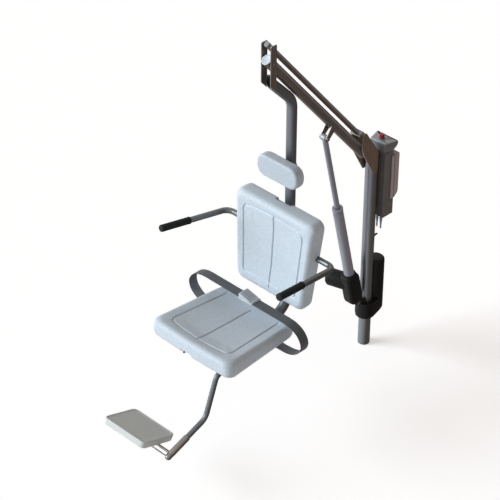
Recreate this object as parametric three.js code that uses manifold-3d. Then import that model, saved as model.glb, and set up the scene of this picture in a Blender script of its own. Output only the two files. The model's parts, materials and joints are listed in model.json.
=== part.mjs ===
// Pool patient lift: a turning mast in a deck socket, a powered parallel arm and a hanging seat.
// Millimetres, +Z up. The origin is the foot of the deck stub, and the seat faces -Y.
import * as THREE from "three";
import { mergeVertices } from "three/addons/utils/BufferGeometryUtils.js";
import Module from "manifold-3d";

const wasm = await Module();
wasm.setup();

// Sizes shared by many pieces.
const fit = 0.3;
const play = 0.6;
const boltRadius = 6;
const fine = 28;
const round = 20;
const slim = 16;
const small = 12;
const bendSteps = 6;

// Deck stub, spindle and slewing drive.
const stub = { radius: 30.15, wall: 3.9, top: 244 };
const spindle = { plug: 100, flange: 8, radius: 21, wall: 6, top: 640, chamfer: 3 };
const bush = { wall: 4.3, top: 625, flange: 29, flangeHigh: 8.4 };
const slew = { offset: 62, wheelTeeth: 42, pinionTeeth: 20, addendum: 1.6, dedendum: 2.3 };
const gear = { bottom: 204, height: 22, shaft: 6, shaftTop: 278, bore: 22 };
const hub = { radius: 50, rear: 44, shelf: 194, foot: 165, top: 262, cavity: 46 };
const hubCavity = { floor: 200, roof: 232, pinion: 25 };
const hubFoot = { radius: 34, lip: 4, lipRadius: 41, waist: 175, waistRadius: 48 };
const cover = { top: 486, edge: 16, cavity: 27, roof: 6, mastGap: 1 };
const slewMotor = { radius: 25, height: 170, edge: 4 };

// Mast and its bracket.
const mast = { radius: 30.15, wall: 3.9, bottom: 262.4, top: 1112 };
const mastCap = { height: 4, plug: 16, edge: 1 };
const pivot = { y: -80, z: 1151.7, spread: 77.6 };
const bracket = { inner: 30.5, thick: 6 };
const bracketHead = { lead: 31, peak: 115.5, tail: 5, nose: 31, noseHigh: 34, brow: 13, browLow: 10 };
const bracketHeel = { shoulder: 68, shoulderHigh: 3.5, back: 84, backHigh: 24, heel: 131, toe: 56 };
const knob = { z: 620, base: 12, tip: 3.6, length: 35, neck: 7, neckLength: 6 };

// Main arm and upper link.
const arm = { angle: 49.6, reach: 954.8, radius: 24.15, wall: 3.7, tail: 26, nose: 23 };
const plug = { disc: 3, edge: 1, depth: 7 };
const boss = { radius: 12 };
const link = { radius: 12.7, wall: 2.6, nose: 20, boss: 8.6 };
const fork = { half: 16, length: 58, tail: 17, plate: 6, web: 9, width: 59.4 };
const head = { radius: 10, high: 6, nut: 8 };

// Actuator.
const lug = { along: 305.2, drop: 71.1, inner: 14.5, thick: 6, top: 30, back: 10, eye: 13, web: 4 };
const pinY = -86;
const pinZ = 300;
const rod = { radius: 13.4, eye: 16, eyeWidth: 28, low: 540, stroke: 335 };
const outer = { radius: 25.2, wall: 4, low: 186, high: 612, collar: 14, collarRadius: 26.6, edge: 3 };
const screw = { radius: 8, high: 600 };
const motor = { radius: 43, length: 127, axis: 121, lift: 170, edge: 18, turn: 13, start: 20 };
const gearbox = { half: 42, width: 74, edge: 16, top: 184, slope: 24, bore: 25.6 };
const foot = { inner: 21, thick: 7, eye: 15, high: 30, low: 34, boss: 20, crown: 2 };

// Hanger, seat post and headrest.
const hanger = { inner: 25, thick: 5.5, front: 18, rear: 17.5, top: 90.6, low: 104, lowRear: 142 };
const post = { y: -550.5, radius: 24.15, wall: 3.7, cornerHigh: 1629.5, low: 497, end: 1075 };
const postBend = { tilt: 46.5, high: 100, low: 110 };
const clamp = { half: 64, high: 1294, low: 1256, depth: 9, corner: 8, front: 591.7, strap: 4 };
const pad = { half: 124, high: 101, z: 1294, front: 644, back: 592, edge: 9 };

// Backrest and seat mouldings.
const back = {
  low: 648, high: 1114, halfLow: 211, halfHigh: 247, frontLow: 691, frontHigh: 661,
  thickLow: 71, thickHigh: 86, edge: 20, dish: 14, channel: 2.5,
};
const seat = {
  rear: 743, front: 1190, halfRear: 229, halfFront: 256, bottom: 565, highRear: 629,
  highFront: 651, edge: 24, dish: 16, bow: 6,
};
const groove = { half: 4, depth: 3.6 };
const notch = { half: 46, deep: 26, high: 16 };
const frontNotch = { left: 48, right: 28, deep: 20, high: 10 };

// Armrests.
const armrest = { y: -612, z: 926.5, radius: 14.2, wall: 2.4, inner: 196, outer: 332, bend: 42 };
const grip = { length: 168, end: 1006, endX: 369, endZ: 990, radius: 17.1, cap: 5, edge: 4, lip: 2 };

// Seat frame, leg and footrest.
const bar = { half: 146, deep: 40, wall: 3, front: 1085, rear: 821 };
const tongue = { radius: 5.5, x: -38, end: 1190, z: 558.8 };
const socket = { radius: 15.4, start: 905, end: 1140, x: 166, z: 549.6 };
const leg = { radius: 11.9, wall: 2.2, start: 1000, kneeY: 1181, toe: 1484 };
const legBend = { y: 1254.8, z: 343.5, slope: 20.5, knee: 38, ankle: 60 };
const sleeve = { radius: 15, start: 1368, shoulder: 1467, end: 1497, cap: 12.8, edge: 4 };
const footRods = { thick: 5.5, thin: 3, reach: 215, thickY: 1462, thinY: 1488 };
const rest = { x: -39, half: 129, length: 194, thick: 29.7, y: 1466, z: 304.6, tilt: 18, corner: 16 };
const restEdge = 4;

// Seat belt and buckle.
const belt = { width: 50, thick: 2.6, y: 821, lap: 701, anchor: 539, reach: 210 };
const buckle = { x: 12, length: 86, width: 60, high: 24, low: 9, base: 5, edge: 4, slot: 4.4, grip: 24 };

// Back mounts.
const mount = { half: 34, high: 44, upper: 1040, lower: 760 };

// Control box.
const box = {
  front: 38.4, rear: 99, halfFront: 42, halfRear: 53, bottom: 742, neck: 1104,
  top: 1156, headFront: 39, headRear: 107, headHalf: 63, headFrontHalf: 43, corner: 9, crown: 5,
};
const boxBracket = { half: 24, low: 800, high: 1080, front: 27 };
const stop = { y: 66, collar: 15, collarHigh: 4, radius: 11.6, high: 9, stem: 5, stemLow: 18 };
const battery = { front: 99.4, rear: 139, half: 51, low: 832, high: 1077, chamfer: 24, edge: 6 };
const cablePlug = { high: 20, radius: 6.2, neck: 3, length: 80, y: 62, gap: 24, x: -3 };

// Colours read from the photo.
const finish = {
  steel: ["#8f9498", 0.3, 0.9],
  bronze: ["#5a5048", 0.34, 0.85],
  moulding: ["#c3d2de", 0.55, 0],
  black: ["#161616", 0.5, 0],
  grip: ["#15150f", 0.7, 0],
  webbing: ["#47494d", 0.85, 0],
  anodised: ["#a5a6b4", 0.35, 0.6],
  boxBody: ["#33343a", 0.5, 0],
  boxHead: ["#8c8d90", 0.45, 0],
  battery: ["#6d6362", 0.5, 0],
  red: ["#a02a2a", 0.4, 0],
  grey: ["#9aa0a4", 0.5, 0],
  tread: ["#8a8b83", 0.75, 0],
  bronzeBush: ["#9a7a45", 0.45, 0.7],
  white: ["#cfdbe4", 0.5, 0],
};

const group = new THREE.Group();
const vec = (x, y, z) => new THREE.Vector3(x, y, z);
const radians = (degrees) => THREE.MathUtils.degToRad(degrees);

// A named piece with its own material.
function add(name, geometry, look) {
  const [color, roughness, metalness] = finish[look];
  const material = new THREE.MeshStandardMaterial({ color, roughness, metalness });
  const mesh = new THREE.Mesh(geometry, material);
  mesh.name = name;
  group.add(mesh);
}

// A geometry as a solid that can be joined or cut.
function solid(geometry) {
  const plain = geometry.index ? geometry.toNonIndexed() : geometry.clone();
  plain.deleteAttribute("normal");
  plain.deleteAttribute("uv");
  const merged = mergeVertices(plain, 1e-3);
  return new wasm.Manifold(new wasm.Mesh({
    numProp: 3,
    vertProperties: merged.attributes.position.array,
    triVerts: new Uint32Array(merged.index.array),
  }));
}

function surface(body) {
  const mesh = body.getMesh();
  const geometry = new THREE.BufferGeometry();
  const points = new THREE.BufferAttribute(new Float32Array(mesh.vertProperties), 3);
  geometry.setAttribute("position", points);
  geometry.setIndex(new THREE.BufferAttribute(new Uint32Array(mesh.triVerts), 1));
  return geometry;
}

const join = (...parts) => surface(parts.map(solid).reduce((a, b) => a.add(b)));
const cut = (base, ...tools) =>
  surface(tools.map(solid).reduce((a, b) => a.subtract(b), solid(base)));
const common = (a, b) => surface(solid(a).intersect(solid(b)));

// A closed surface through rings of equal counts. A closed loop of rings has no end caps.
function loft(rings, closed = false) {
  const count = rings[0].length;
  const points = rings.flat();
  const index = [];
  const last = closed ? rings.length : rings.length - 1;
  for (let r = 0; r < last; r++) {
    const here = r * count;
    const next = ((r + 1) % rings.length) * count;
    for (let i = 0; i < count; i++) {
      const j = (i + 1) % count;
      index.push(here + i, here + j, next + j, here + i, next + j, next + i);
    }
  }
  if (!closed) {
    for (const [start, flip] of [[0, true], [(rings.length - 1) * count, false]]) {
      for (let i = 1; i < count - 1; i++) {
        const pair = flip ? [start + i + 1, start + i] : [start + i, start + i + 1];
        index.push(start, ...pair);
      }
    }
  }
  const geometry = new THREE.BufferGeometry().setFromPoints(points);
  geometry.setIndex(index);
  return outward(geometry);
}

// Turns the faces round where a surface came out facing in.
function outward(geometry) {
  const p = geometry.attributes.position;
  const ix = geometry.index.array;
  const [a, b, c] = [vec(), vec(), vec()];
  let volume = 0;
  for (let i = 0; i < ix.length; i += 3) {
    a.fromBufferAttribute(p, ix[i]);
    b.fromBufferAttribute(p, ix[i + 1]);
    c.fromBufferAttribute(p, ix[i + 2]);
    volume += a.dot(b.cross(c));
  }
  if (volume < 0) {
    for (let i = 0; i < ix.length; i += 3) [ix[i + 1], ix[i + 2]] = [ix[i + 2], ix[i + 1]];
  }
  return geometry;
}

// A direction square enough to a line to measure turns about it from.
const beside = (along) => (Math.abs(along.x) > 0.5 ? vec(0, 0, 1) : vec(1, 0, 0));

// A circle of points about a centre, square to a direction.
function ring(centre, along, radius, sides, side = beside(along)) {
  const u = side.clone().addScaledVector(along, -side.dot(along)).normalize();
  const v = along.clone().cross(u);
  return Array.from({ length: sides }, (_, i) => {
    const turn = (i * 2 * Math.PI) / sides;
    return centre.clone()
      .addScaledVector(u, radius * Math.cos(turn))
      .addScaledVector(v, radius * Math.sin(turn));
  });
}

// The direction of a path at one of its points.
function tangent(path, i) {
  const before = path[Math.max(i - 1, 0)];
  const after = path[Math.min(i + 1, path.length - 1)];
  return after.clone().sub(before).normalize();
}

// The rings of a skin round a path, all measured from one direction.
function skin(path, radius, sides) {
  const side = beside(tangent(path, 0));
  return path.map((p, i) => ring(p, tangent(path, i), radius, sides, side));
}

const rodAlong = (path, radius, sides = round) => loft(skin(path, radius, sides));

// A round tube that follows a path and is open at both ends.
function tubeAlong(path, radius, wall, sides = round) {
  return loft([...skin(path, radius, sides), ...skin(path, radius - wall, sides).reverse()], true);
}

// A path through corner points, each corner rounded to its radius.
function bent(corners, radii) {
  const path = [corners[0]];
  for (let i = 1; i < corners.length - 1; i++) {
    const back = corners[i - 1].clone().sub(corners[i]).normalize();
    const on = corners[i + 1].clone().sub(corners[i]).normalize();
    const half = back.angleTo(on) / 2;
    const radius = radii[i - 1];
    const run = radius / Math.tan(half);
    const inward = back.clone().add(on).normalize();
    const centre = corners[i].clone().addScaledVector(inward, radius / Math.sin(half));
    const from = corners[i].clone().addScaledVector(back, run).sub(centre);
    const axis = back.clone().cross(on).normalize();
    const sweep = -(Math.PI - 2 * half);
    for (let k = 0; k <= bendSteps; k++) {
      path.push(from.clone().applyAxisAngle(axis, (sweep * k) / bendSteps).add(centre));
    }
  }
  path.push(corners[corners.length - 1]);
  return path;
}

// A prism of an outline, pushed along X, Y or Z between two stations.
function prism(axis, outline, from, to, holes = []) {
  const place = (p) => (axis === "y" ? new THREE.Vector2(p[1], p[0]) : new THREE.Vector2(...p));
  const shape = new THREE.Shape(outline.map(place));
  for (const [a, b, radius, sides = small] of holes) {
    const rim = Array.from({ length: sides }, (_, i) => {
      const turn = (i * 2 * Math.PI) / sides;
      return place([a + radius * Math.cos(turn), b + radius * Math.sin(turn)]);
    });
    shape.holes.push(new THREE.Path(rim));
  }
  const geometry = new THREE.ExtrudeGeometry(shape, { depth: to - from, bevelEnabled: false });
  geometry.translate(0, 0, from);
  return turned(geometry, axis);
}

// Turns a body built along Z so that it lies along X or Y.
function turned(geometry, axis) {
  const cycle = {
    x: [0, 0, 1, 0, 1, 0, 0, 0, 0, 1, 0, 0, 0, 0, 0, 1],
    y: [0, 1, 0, 0, 0, 0, 1, 0, 1, 0, 0, 0, 0, 0, 0, 1],
  };
  if (cycle[axis]) geometry.applyMatrix4(new THREE.Matrix4().set(...cycle[axis]));
  return geometry;
}

const block = (x0, x1, y0, y1, z0, z1) =>
  prism("z", [[x0, y0], [x1, y0], [x1, y1], [x0, y1]], z0, z1);

// A round bar between two points.
const bar2 = (from, to, radius, sides = round) => rodAlong([from, to], radius, sides);
const crossBar = (y, z, x0, x1, radius, sides = round) =>
  bar2(vec(x0, y, z), vec(x1, y, z), radius, sides);
const postBar = (x, y, z0, z1, radius, sides = fine) =>
  bar2(vec(x, y, z0), vec(x, y, z1), radius, sides);

// A body turned about a vertical axis from pairs of radius and height.
function turnedBody(x, y, profile, sides = fine) {
  const rings = profile.map(([r, z]) => ring(vec(x, y, z), vec(0, 0, 1), r, sides));
  return loft(rings);
}

// A rectangle outline with rounded corners.
function roundedOutline(a0, a1, b0, b1, radius, steps = 4) {
  const corners = [
    [a1 - radius, b1 - radius, 0], [a0 + radius, b1 - radius, 1],
    [a0 + radius, b0 + radius, 2], [a1 - radius, b0 + radius, 3],
  ];
  return corners.flatMap(([a, b, quarter]) =>
    Array.from({ length: steps + 1 }, (_, i) => {
      const turn = ((quarter + i / steps) * Math.PI) / 2;
      return [a + radius * Math.cos(turn), b + radius * Math.sin(turn)];
    }));
}

// The arm's own directions: along it and square to it, above.
const armAlong = vec(0, -Math.cos(radians(arm.angle)), Math.sin(radians(arm.angle)));
const armAbove = vec(0, Math.sin(radians(arm.angle)), Math.cos(radians(arm.angle)));
const mastPivot = vec(0, pivot.y, pivot.z);
const linkPivot = vec(0, pivot.y, pivot.z + pivot.spread);
const onArm = (along, above) =>
  mastPivot.clone().addScaledVector(armAlong, along).addScaledVector(armAbove, above);
const onLink = (along, above) =>
  linkPivot.clone().addScaledVector(armAlong, along).addScaledVector(armAbove, above);
const hangerPivot = onArm(arm.reach, 0);
const hangerLinkPivot = onLink(arm.reach, 0);

// Deck stub with the fixed wheel, the spindle and its bearings.
function teeth(count, pitchRadius, phase) {
  const lowShare = 0.3;
  const highShare = 0.15;
  const low = pitchRadius - slew.dedendum;
  const high = pitchRadius + slew.addendum;
  const pitch = (2 * Math.PI) / count;
  const shares = [[-lowShare, low], [-highShare, high], [highShare, high], [lowShare, low]];
  return Array.from({ length: count }, (_, i) => i).flatMap((i) =>
    shares.map(([share, r]) => {
      const turn = phase + (i + share) * pitch;
      return [r * Math.cos(turn), r * Math.sin(turn)];
    }));
}

const slewModule = (2 * slew.offset) / (slew.wheelTeeth + slew.pinionTeeth);
const wheelPitch = (slewModule * slew.wheelTeeth) / 2;
const pinionPitch = (slewModule * slew.pinionTeeth) / 2;

function makeStub() {
  const bore = stub.radius - stub.wall;
  add("deck_stub_tube", turnedBody(0, 0, [
    [stub.radius, 0], [stub.radius, stub.top], [bore, stub.top], [bore, stub.wall],
  ]), "steel");
  const seatHigh = stub.top + fit;
  const flangeHigh = seatHigh + spindle.flange;
  const plugRadius = stub.radius - stub.wall - fit;
  const inner = spindle.radius - spindle.wall;
  const profile = [
    [plugRadius, stub.top - spindle.plug], [plugRadius, seatHigh], [stub.radius, seatHigh],
    [stub.radius, flangeHigh], [spindle.radius, flangeHigh],
    [spindle.radius, spindle.top - spindle.chamfer],
    [spindle.radius - spindle.chamfer, spindle.top], [inner, spindle.top],
    [inner, stub.top - spindle.plug],
  ];
  const rings = profile.map(([r, z]) => ring(vec(0, 0, z), vec(0, 0, 1), r, fine));
  add("stub_spindle", loft(rings, true), "steel");
  const wheel = prism("z", teeth(slew.wheelTeeth, wheelPitch, Math.PI / 2),
    gear.bottom, gear.bottom + gear.height, [[0, 0, stub.radius + fit, fine]]);
  add("slew_gear_wheel", wheel, "steel");
}

// The sleeve between spindle and mast, with a flange that carries the mast's weight.
function makeBearing() {
  const inner = spindle.radius + fit;
  const low = stub.top + spindle.flange + 2 * fit;
  const profile = [
    [inner, low], [bush.flange, low], [bush.flange, low + bush.flangeHigh],
    [inner + bush.wall, low + bush.flangeHigh], [inner + bush.wall, bush.top], [inner, bush.top],
  ];
  const rings = profile.map(([r, z]) => ring(vec(0, 0, z), vec(0, 0, 1), r, fine));
  add("mast_flanged_bush", loft(rings, true), "bronzeBush");
}

// The outline round two circles, one about the mast and one about the motor.
function hubRing(front, rear, offset, z) {
  const edge = (front - rear) / Math.max(offset, front);
  return Array.from({ length: fine * 2 }, (_, i) => {
    const turn = ((i + 0.5) * Math.PI) / fine;
    const onRear = Math.sin(turn) > edge;
    const r = onRear ? rear : front;
    return vec(r * Math.cos(turn), r * Math.sin(turn) + (onRear ? offset : 0), z);
  });
}

function makeHub() {
  const lowShare = 0.12;
  const midShare = 0.62;
  const rings = [
    hubRing(hubFoot.radius, hubFoot.radius, slew.offset * lowShare, hub.foot),
    hubRing(hubFoot.lipRadius, hubFoot.lipRadius - hubFoot.lip, slew.offset * lowShare,
      hub.foot + hubFoot.lip),
    hubRing(hubFoot.waistRadius, hub.rear - hubFoot.lip, slew.offset * midShare, hubFoot.waist),
    hubRing(hub.radius, hub.rear, slew.offset, hub.shelf),
    hubRing(hub.radius, hub.rear, slew.offset, hub.top),
  ];
  const stubHole = postBar(0, 0, 0, hubCavity.roof, stub.radius + play);
  add("slew_hub_housing", cut(loft(rings), stubHole,
    postBar(0, 0, hubCavity.floor, hubCavity.roof, hub.cavity),
    postBar(0, slew.offset, hubCavity.floor, hubCavity.roof, hubCavity.pinion),
    postBar(0, 0, hubCavity.floor, hub.top + fit, stub.radius + play),
    postBar(0, slew.offset, hubCavity.floor, hub.top + fit, gear.shaft + play)), "black");
}

function makeSlewDrive() {
  const low = hub.top + fit;
  const rounded = [1, 0.7, 0.3, 0].map((share) => {
    const shrink = 1 - Math.sqrt(1 - (1 - share) ** 2);
    return [hub.rear - cover.edge * shrink, cover.top - cover.edge * share];
  });
  const can = turnedBody(0, slew.offset, [[hub.rear, low], ...rounded]);
  const mastSpace = postBar(0, 0, low - fit, cover.top + fit, mast.radius + cover.mastGap);
  const inside = postBar(0, slew.offset, low - fit, cover.top - cover.roof, cover.cavity);
  add("slew_motor_cover", cut(can, mastSpace, inside), "black");
  const body = turnedBody(0, slew.offset, [
    [slewMotor.radius, low], [slewMotor.radius, low + slewMotor.height - slewMotor.edge],
    [slewMotor.radius - slewMotor.edge, low + slewMotor.height],
  ], round);
  const shaftHole = postBar(0, slew.offset, low - fit, low + gear.bore, gear.shaft + fit, small);
  add("slew_motor", cut(body, shaftHole), "steel");
  const phase = Math.PI / slew.pinionTeeth - Math.PI / 2;
  const toothed = prism("z", teeth(slew.pinionTeeth, pinionPitch, phase),
    gear.bottom, gear.bottom + gear.height);
  toothed.translate(0, slew.offset, 0);
  const shaft = postBar(0, slew.offset, gear.bottom, gear.shaftTop, gear.shaft, small);
  add("slew_pinion", join(toothed, shaft), "steel");
}

// Mast tube, its cap, the bracket plates and the knob behind.
function makeMast() {
  add("mast_tube", tubeAlong([vec(0, 0, mast.bottom), vec(0, 0, mast.top)],
    mast.radius, mast.wall, fine), "steel");
  const inside = mast.radius - mast.wall - fit;
  add("mast_top_cap", turnedBody(0, 0, [
    [inside, mast.top - mastCap.plug], [inside, mast.top + fit], [mast.radius, mast.top + fit],
    [mast.radius, mast.top + mastCap.height - mastCap.edge],
    [mast.radius - mastCap.edge, mast.top + mastCap.height],
  ]), "black");
  const at = (y, z) => [pivot.y + y, pivot.z + z];
  const outline = [
    at(-bracketHead.lead, bracketHead.peak), at(-bracketHead.tail, bracketHead.peak),
    at(bracketHeel.shoulder, bracketHeel.shoulderHigh), at(bracketHeel.back, -bracketHeel.backHigh),
    at(bracketHeel.back, -bracketHeel.heel), at(bracketHeel.toe, -bracketHeel.heel - bracketHead.tail),
    at(-bracketHead.brow, -bracketHead.browLow), at(-bracketHead.nose, bracketHead.noseHigh),
  ];
  const bores = [
    [pivot.y, pivot.z, boltRadius + fit],
    [pivot.y, pivot.z + pivot.spread, boltRadius + fit],
  ];
  for (const [name, x] of [["left", -bracket.inner - bracket.thick], ["right", bracket.inner]]) {
    add("mast_bracket_plate_" + name, prism("x", outline, x, x + bracket.thick, bores), "bronze");
  }
  const start = mast.radius + fit;
  const profile = [
    [knob.base - knob.neck / 2, start], [knob.base, start + knob.neckLength / 2],
    [knob.neck, start + knob.neckLength], [knob.tip, start + knob.length],
  ];
  const rings = profile.map(([r, y]) => ring(vec(0, y, knob.z), vec(0, 1, 0), r, small));
  add("mast_rear_knob", cut(loft(rings), postBar(0, 0, knob.z - knob.length,
    knob.z + knob.length, mast.radius + fit)), "black");
}

// A pivot bolt with a round head on the right and a hexagonal nut on the left.
function bolt(name, y, z, halfGrip) {
  const shank = crossBar(y, z, -halfGrip - fit, halfGrip + fit, boltRadius, small);
  const cap = crossBar(y, z, halfGrip + fit, halfGrip + fit + head.high, head.radius, small);
  const nut = crossBar(y, z, -halfGrip - fit - head.nut, -halfGrip - fit, head.radius, 6);
  add(name, join(shank, cap, nut), "steel");
}

function makePivots() {
  const atMast = bracket.inner + bracket.thick;
  const atHanger = hanger.inner + hanger.thick;
  bolt("arm_pivot_bolt", pivot.y, pivot.z, atMast);
  bolt("link_pivot_bolt", pivot.y, linkPivot.z, atMast);
  bolt("hanger_arm_bolt", hangerPivot.y, hangerPivot.z, atHanger);
  bolt("hanger_link_bolt", hangerPivot.y, hangerLinkPivot.z, atHanger);
}

// A short sleeve welded across a tube, and the bore through it.
function pivotSleeve(centre, halfWidth, radius) {
  const sleeve = crossBar(centre.y, centre.z, -halfWidth, halfWidth, radius);
  const bore = crossBar(centre.y, centre.z, -halfWidth - fit, halfWidth + fit,
    boltRadius + fit, small);
  return { sleeve, bore };
}

function makeArm() {
  const tube = tubeAlong([onArm(-arm.tail, 0), onArm(arm.reach + arm.nose, 0)],
    arm.radius, arm.wall, fine);
  const rear = pivotSleeve(mastPivot, bracket.inner - play, boss.radius);
  const front = pivotSleeve(hangerPivot, hanger.inner - play, boss.radius);
  add("main_arm_tube", cut(join(tube, rear.sleeve, front.sleeve), rear.bore, front.bore), "bronze");
  endPlug("arm_end_plug", onArm(arm.reach + arm.nose, 0), arm.radius, arm.wall, "white");
}

// The plug stops short of the pivot sleeve inside the tube.
function endPlug(name, from, radius, wall, look) {
  const inside = radius - wall - fit;
  const depth = plug.depth;
  const place = (s) => from.clone().addScaledVector(armAlong, s);
  add(name, loft([
    ring(place(-depth), armAlong, inside, round), ring(place(fit), armAlong, inside, round),
    ring(place(fit), armAlong, radius, round), ring(place(plug.disc - plug.edge), armAlong, radius, round),
    ring(place(plug.disc), armAlong, radius - plug.edge, round),
  ]), look);
}

function makeLink() {
  const tube = tubeAlong([onLink(fork.length - fork.web / 2, 0), onLink(arm.reach + link.nose, 0)],
    link.radius, link.wall, round);
  const front = pivotSleeve(hangerLinkPivot, hanger.inner - play, link.boss);
  endPlug("link_end_plug", onLink(arm.reach + link.nose, 0), link.radius, link.wall, "grey");
  const corner = (along, above) => {
    const p = onLink(along, above);
    return [p.y, p.z];
  };
  const side = [
    corner(-fork.tail, -fork.half), corner(fork.length, -fork.half),
    corner(fork.length, fork.half), corner(-fork.tail, fork.half),
  ];
  const half = fork.width / 2;
  const body = prism("x", side, -half, half, [[linkPivot.y, linkPivot.z, boltRadius + fit]]);
  const hollow = prism("x", [
    corner(-fork.tail - fit, -fork.half - fit), corner(fork.length - fork.web, -fork.half - fit),
    corner(fork.length - fork.web, fork.half + fit), corner(-fork.tail - fit, fork.half + fit),
  ], fork.plate - half, half - fork.plate);
  add("upper_link_tube", cut(join(cut(body, hollow), tube, front.sleeve), front.bore), "bronze");
}

// Actuator: lug under the arm, rod, outer tube, gear housing and motor.
const actuatorTop = onArm(lug.along, -lug.drop);
const actuatorFoot = vec(0, pinY, pinZ);
const actuatorAlong = actuatorTop.clone().sub(actuatorFoot).normalize();
const actuatorSide = vec(0, actuatorAlong.z, -actuatorAlong.y);
const onActuator = (s, side = 0) =>
  actuatorFoot.clone().addScaledVector(actuatorAlong, s).addScaledVector(actuatorSide, side);
const actuatorLength = actuatorTop.distanceTo(actuatorFoot);

function makeLug() {
  const point = (along, above) => {
    const p = onArm(lug.along + along, above);
    return [p.y, p.z];
  };
  const eyeSteps = 8;
  const eye = Array.from({ length: eyeSteps + 1 }, (_, i) => {
    const turn = Math.PI + (Math.PI * i) / eyeSteps;
    return point(lug.eye * Math.cos(turn), -lug.drop + lug.eye * Math.sin(turn));
  });
  const outline = [...eye, point(lug.top, 0), point(-lug.back, 0)];
  const width = lug.inner + lug.thick;
  const body = prism("x", outline, -width, width);
  const web = arm.radius + lug.web;
  const spaceLength = 2 * lug.top;
  const space = prism("x", [
    point(-spaceLength, -web), point(spaceLength, -web),
    point(spaceLength, -lug.drop - spaceLength), point(-spaceLength, -lug.drop - spaceLength),
  ], -lug.inner, lug.inner);
  const armSpace = bar2(onArm(0, 0), onArm(arm.reach, 0), arm.radius + fit, fine);
  const heads = [-1, 1].map((s) => crossBar(actuatorTop.y, actuatorTop.z,
    s * (width - fit), s * (width + head.high), head.radius, small));
  add("actuator_lug", join(lowerPart(cut(body, space, armSpace)), ...heads), "bronze");
  const half = lug.inner - play;
  add("actuator_top_pin", crossBar(actuatorTop.y, actuatorTop.z, -half, half, boltRadius, small),
    "steel");
}

// Keeps the part of the lug that hangs below the arm's own axis.
function lowerPart(geometry) {
  const far = lug.top * 2;
  const corner = (along, above) => {
    const p = onArm(lug.along + along, above);
    return [p.y, p.z];
  };
  const keep = prism("x", [
    corner(-far, -arm.radius / 2), corner(far, -arm.radius / 2),
    corner(far, -far * 2), corner(-far, -far * 2),
  ], -far, far);
  return common(geometry, keep);
}

function makeActuator() {
  const rodLow = onActuator(rod.low);
  const rodHigh = onActuator(actuatorLength - rod.eye / 2);
  const shaft = bar2(rodLow, rodHigh, rod.radius);
  const eyeHalf = rod.eyeWidth / 2 - play / 2;
  const eye = crossBar(actuatorTop.y, actuatorTop.z, -eyeHalf, eyeHalf, rod.eye);
  const bore = crossBar(actuatorTop.y, actuatorTop.z, -rod.eyeWidth, rod.eyeWidth,
    boltRadius + fit, small);
  const screwSpace = bar2(onActuator(rod.low - fit), onActuator(screw.high + rod.stroke),
    screw.radius + play, small);
  add("actuator_rod", cut(join(shaft, eye), bore, screwSpace), "anodised");
  const high = outer.high + outer.collar;
  const inside = outer.radius - outer.wall;
  const profile = [
    [outer.low, inside], [outer.low, outer.radius], [outer.high, outer.radius],
    [outer.high, outer.collarRadius], [high - outer.edge, outer.collarRadius],
    [high, outer.collarRadius - outer.edge], [high, rod.radius + play],
    [outer.high, rod.radius + play], [outer.high, inside],
  ];
  const rings = profile.map(([s, r]) => ring(onActuator(s), actuatorAlong, r, fine));
  add("actuator_tube", loft(rings, true), "anodised");
  add("actuator_screw", bar2(onActuator(motor.lift), onActuator(screw.high), screw.radius, small),
    "steel");
}

function gearboxOutline(grow) {
  const steps = 10;
  const r = gearbox.half + grow;
  const low = Array.from({ length: steps + 1 }, (_, i) => {
    const turn = Math.PI + (Math.PI * i) / steps;
    return onActuator(foot.low + r * Math.sin(turn), r * Math.cos(turn));
  });
  const rearShare = 0.62;
  const frontShare = 0.8;
  const high = [
    onActuator(gearbox.top + grow - gearbox.slope, r),
    onActuator(gearbox.top + grow, r * rearShare),
    onActuator(gearbox.top + grow, -r * frontShare),
    onActuator(gearbox.top + grow - gearbox.edge, -r),
  ];
  return [...low, ...high];
}

function makeGearbox() {
  const half = gearbox.width / 2;
  const rings = [
    [-half, -gearbox.edge], [-half + gearbox.edge * 0.3, -gearbox.edge * 0.4],
    [-half + gearbox.edge, 0], [half - gearbox.edge, 0],
    [half - gearbox.edge * 0.3, -gearbox.edge * 0.4], [half, -gearbox.edge],
  ].map(([x, grow]) => gearboxOutline(grow).map((p) => vec(x, p.y, p.z)));
  const mastSpace = postBar(0, 0, pinZ - gearbox.width * 2, mast.top, mast.radius + gearbox.edge);
  const tubeSpace = bar2(onActuator(motor.lift - fit), onActuator(gearbox.top * 2), gearbox.bore, fine);
  const footSlot = foot.inner + foot.thick + play;
  const lugSpaces = [1, -1].map((s) => prism("x", footSpace(),
    s > 0 ? foot.inner - play : -footSlot, s > 0 ? footSlot : play - foot.inner));
  const bore = crossBar(pinY, pinZ, -gearbox.width, gearbox.width, head.radius + play, small);
  const core = crossBar(pinY, pinZ, -foot.inner + play, foot.inner - play, foot.boss);
  const pinBore = crossBar(pinY, pinZ, -foot.inner, foot.inner, boltRadius + fit, small);
  const shell = cut(loft(rings), mastSpace, tubeSpace, ...lugSpaces, bore);
  add("actuator_gear_housing", cut(join(shell, core), pinBore), "black");
}

// The room the two mast lugs need inside the gear housing, at every tilt.
function footSpace() {
  const reach = foot.eye + play * 3;
  const drop = foot.low + play * 3;
  return [
    [pinY - reach, pinZ - drop], [0, pinZ - drop - foot.eye],
    [0, pinZ + drop + foot.eye], [pinY - reach, pinZ + drop],
  ];
}

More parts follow.
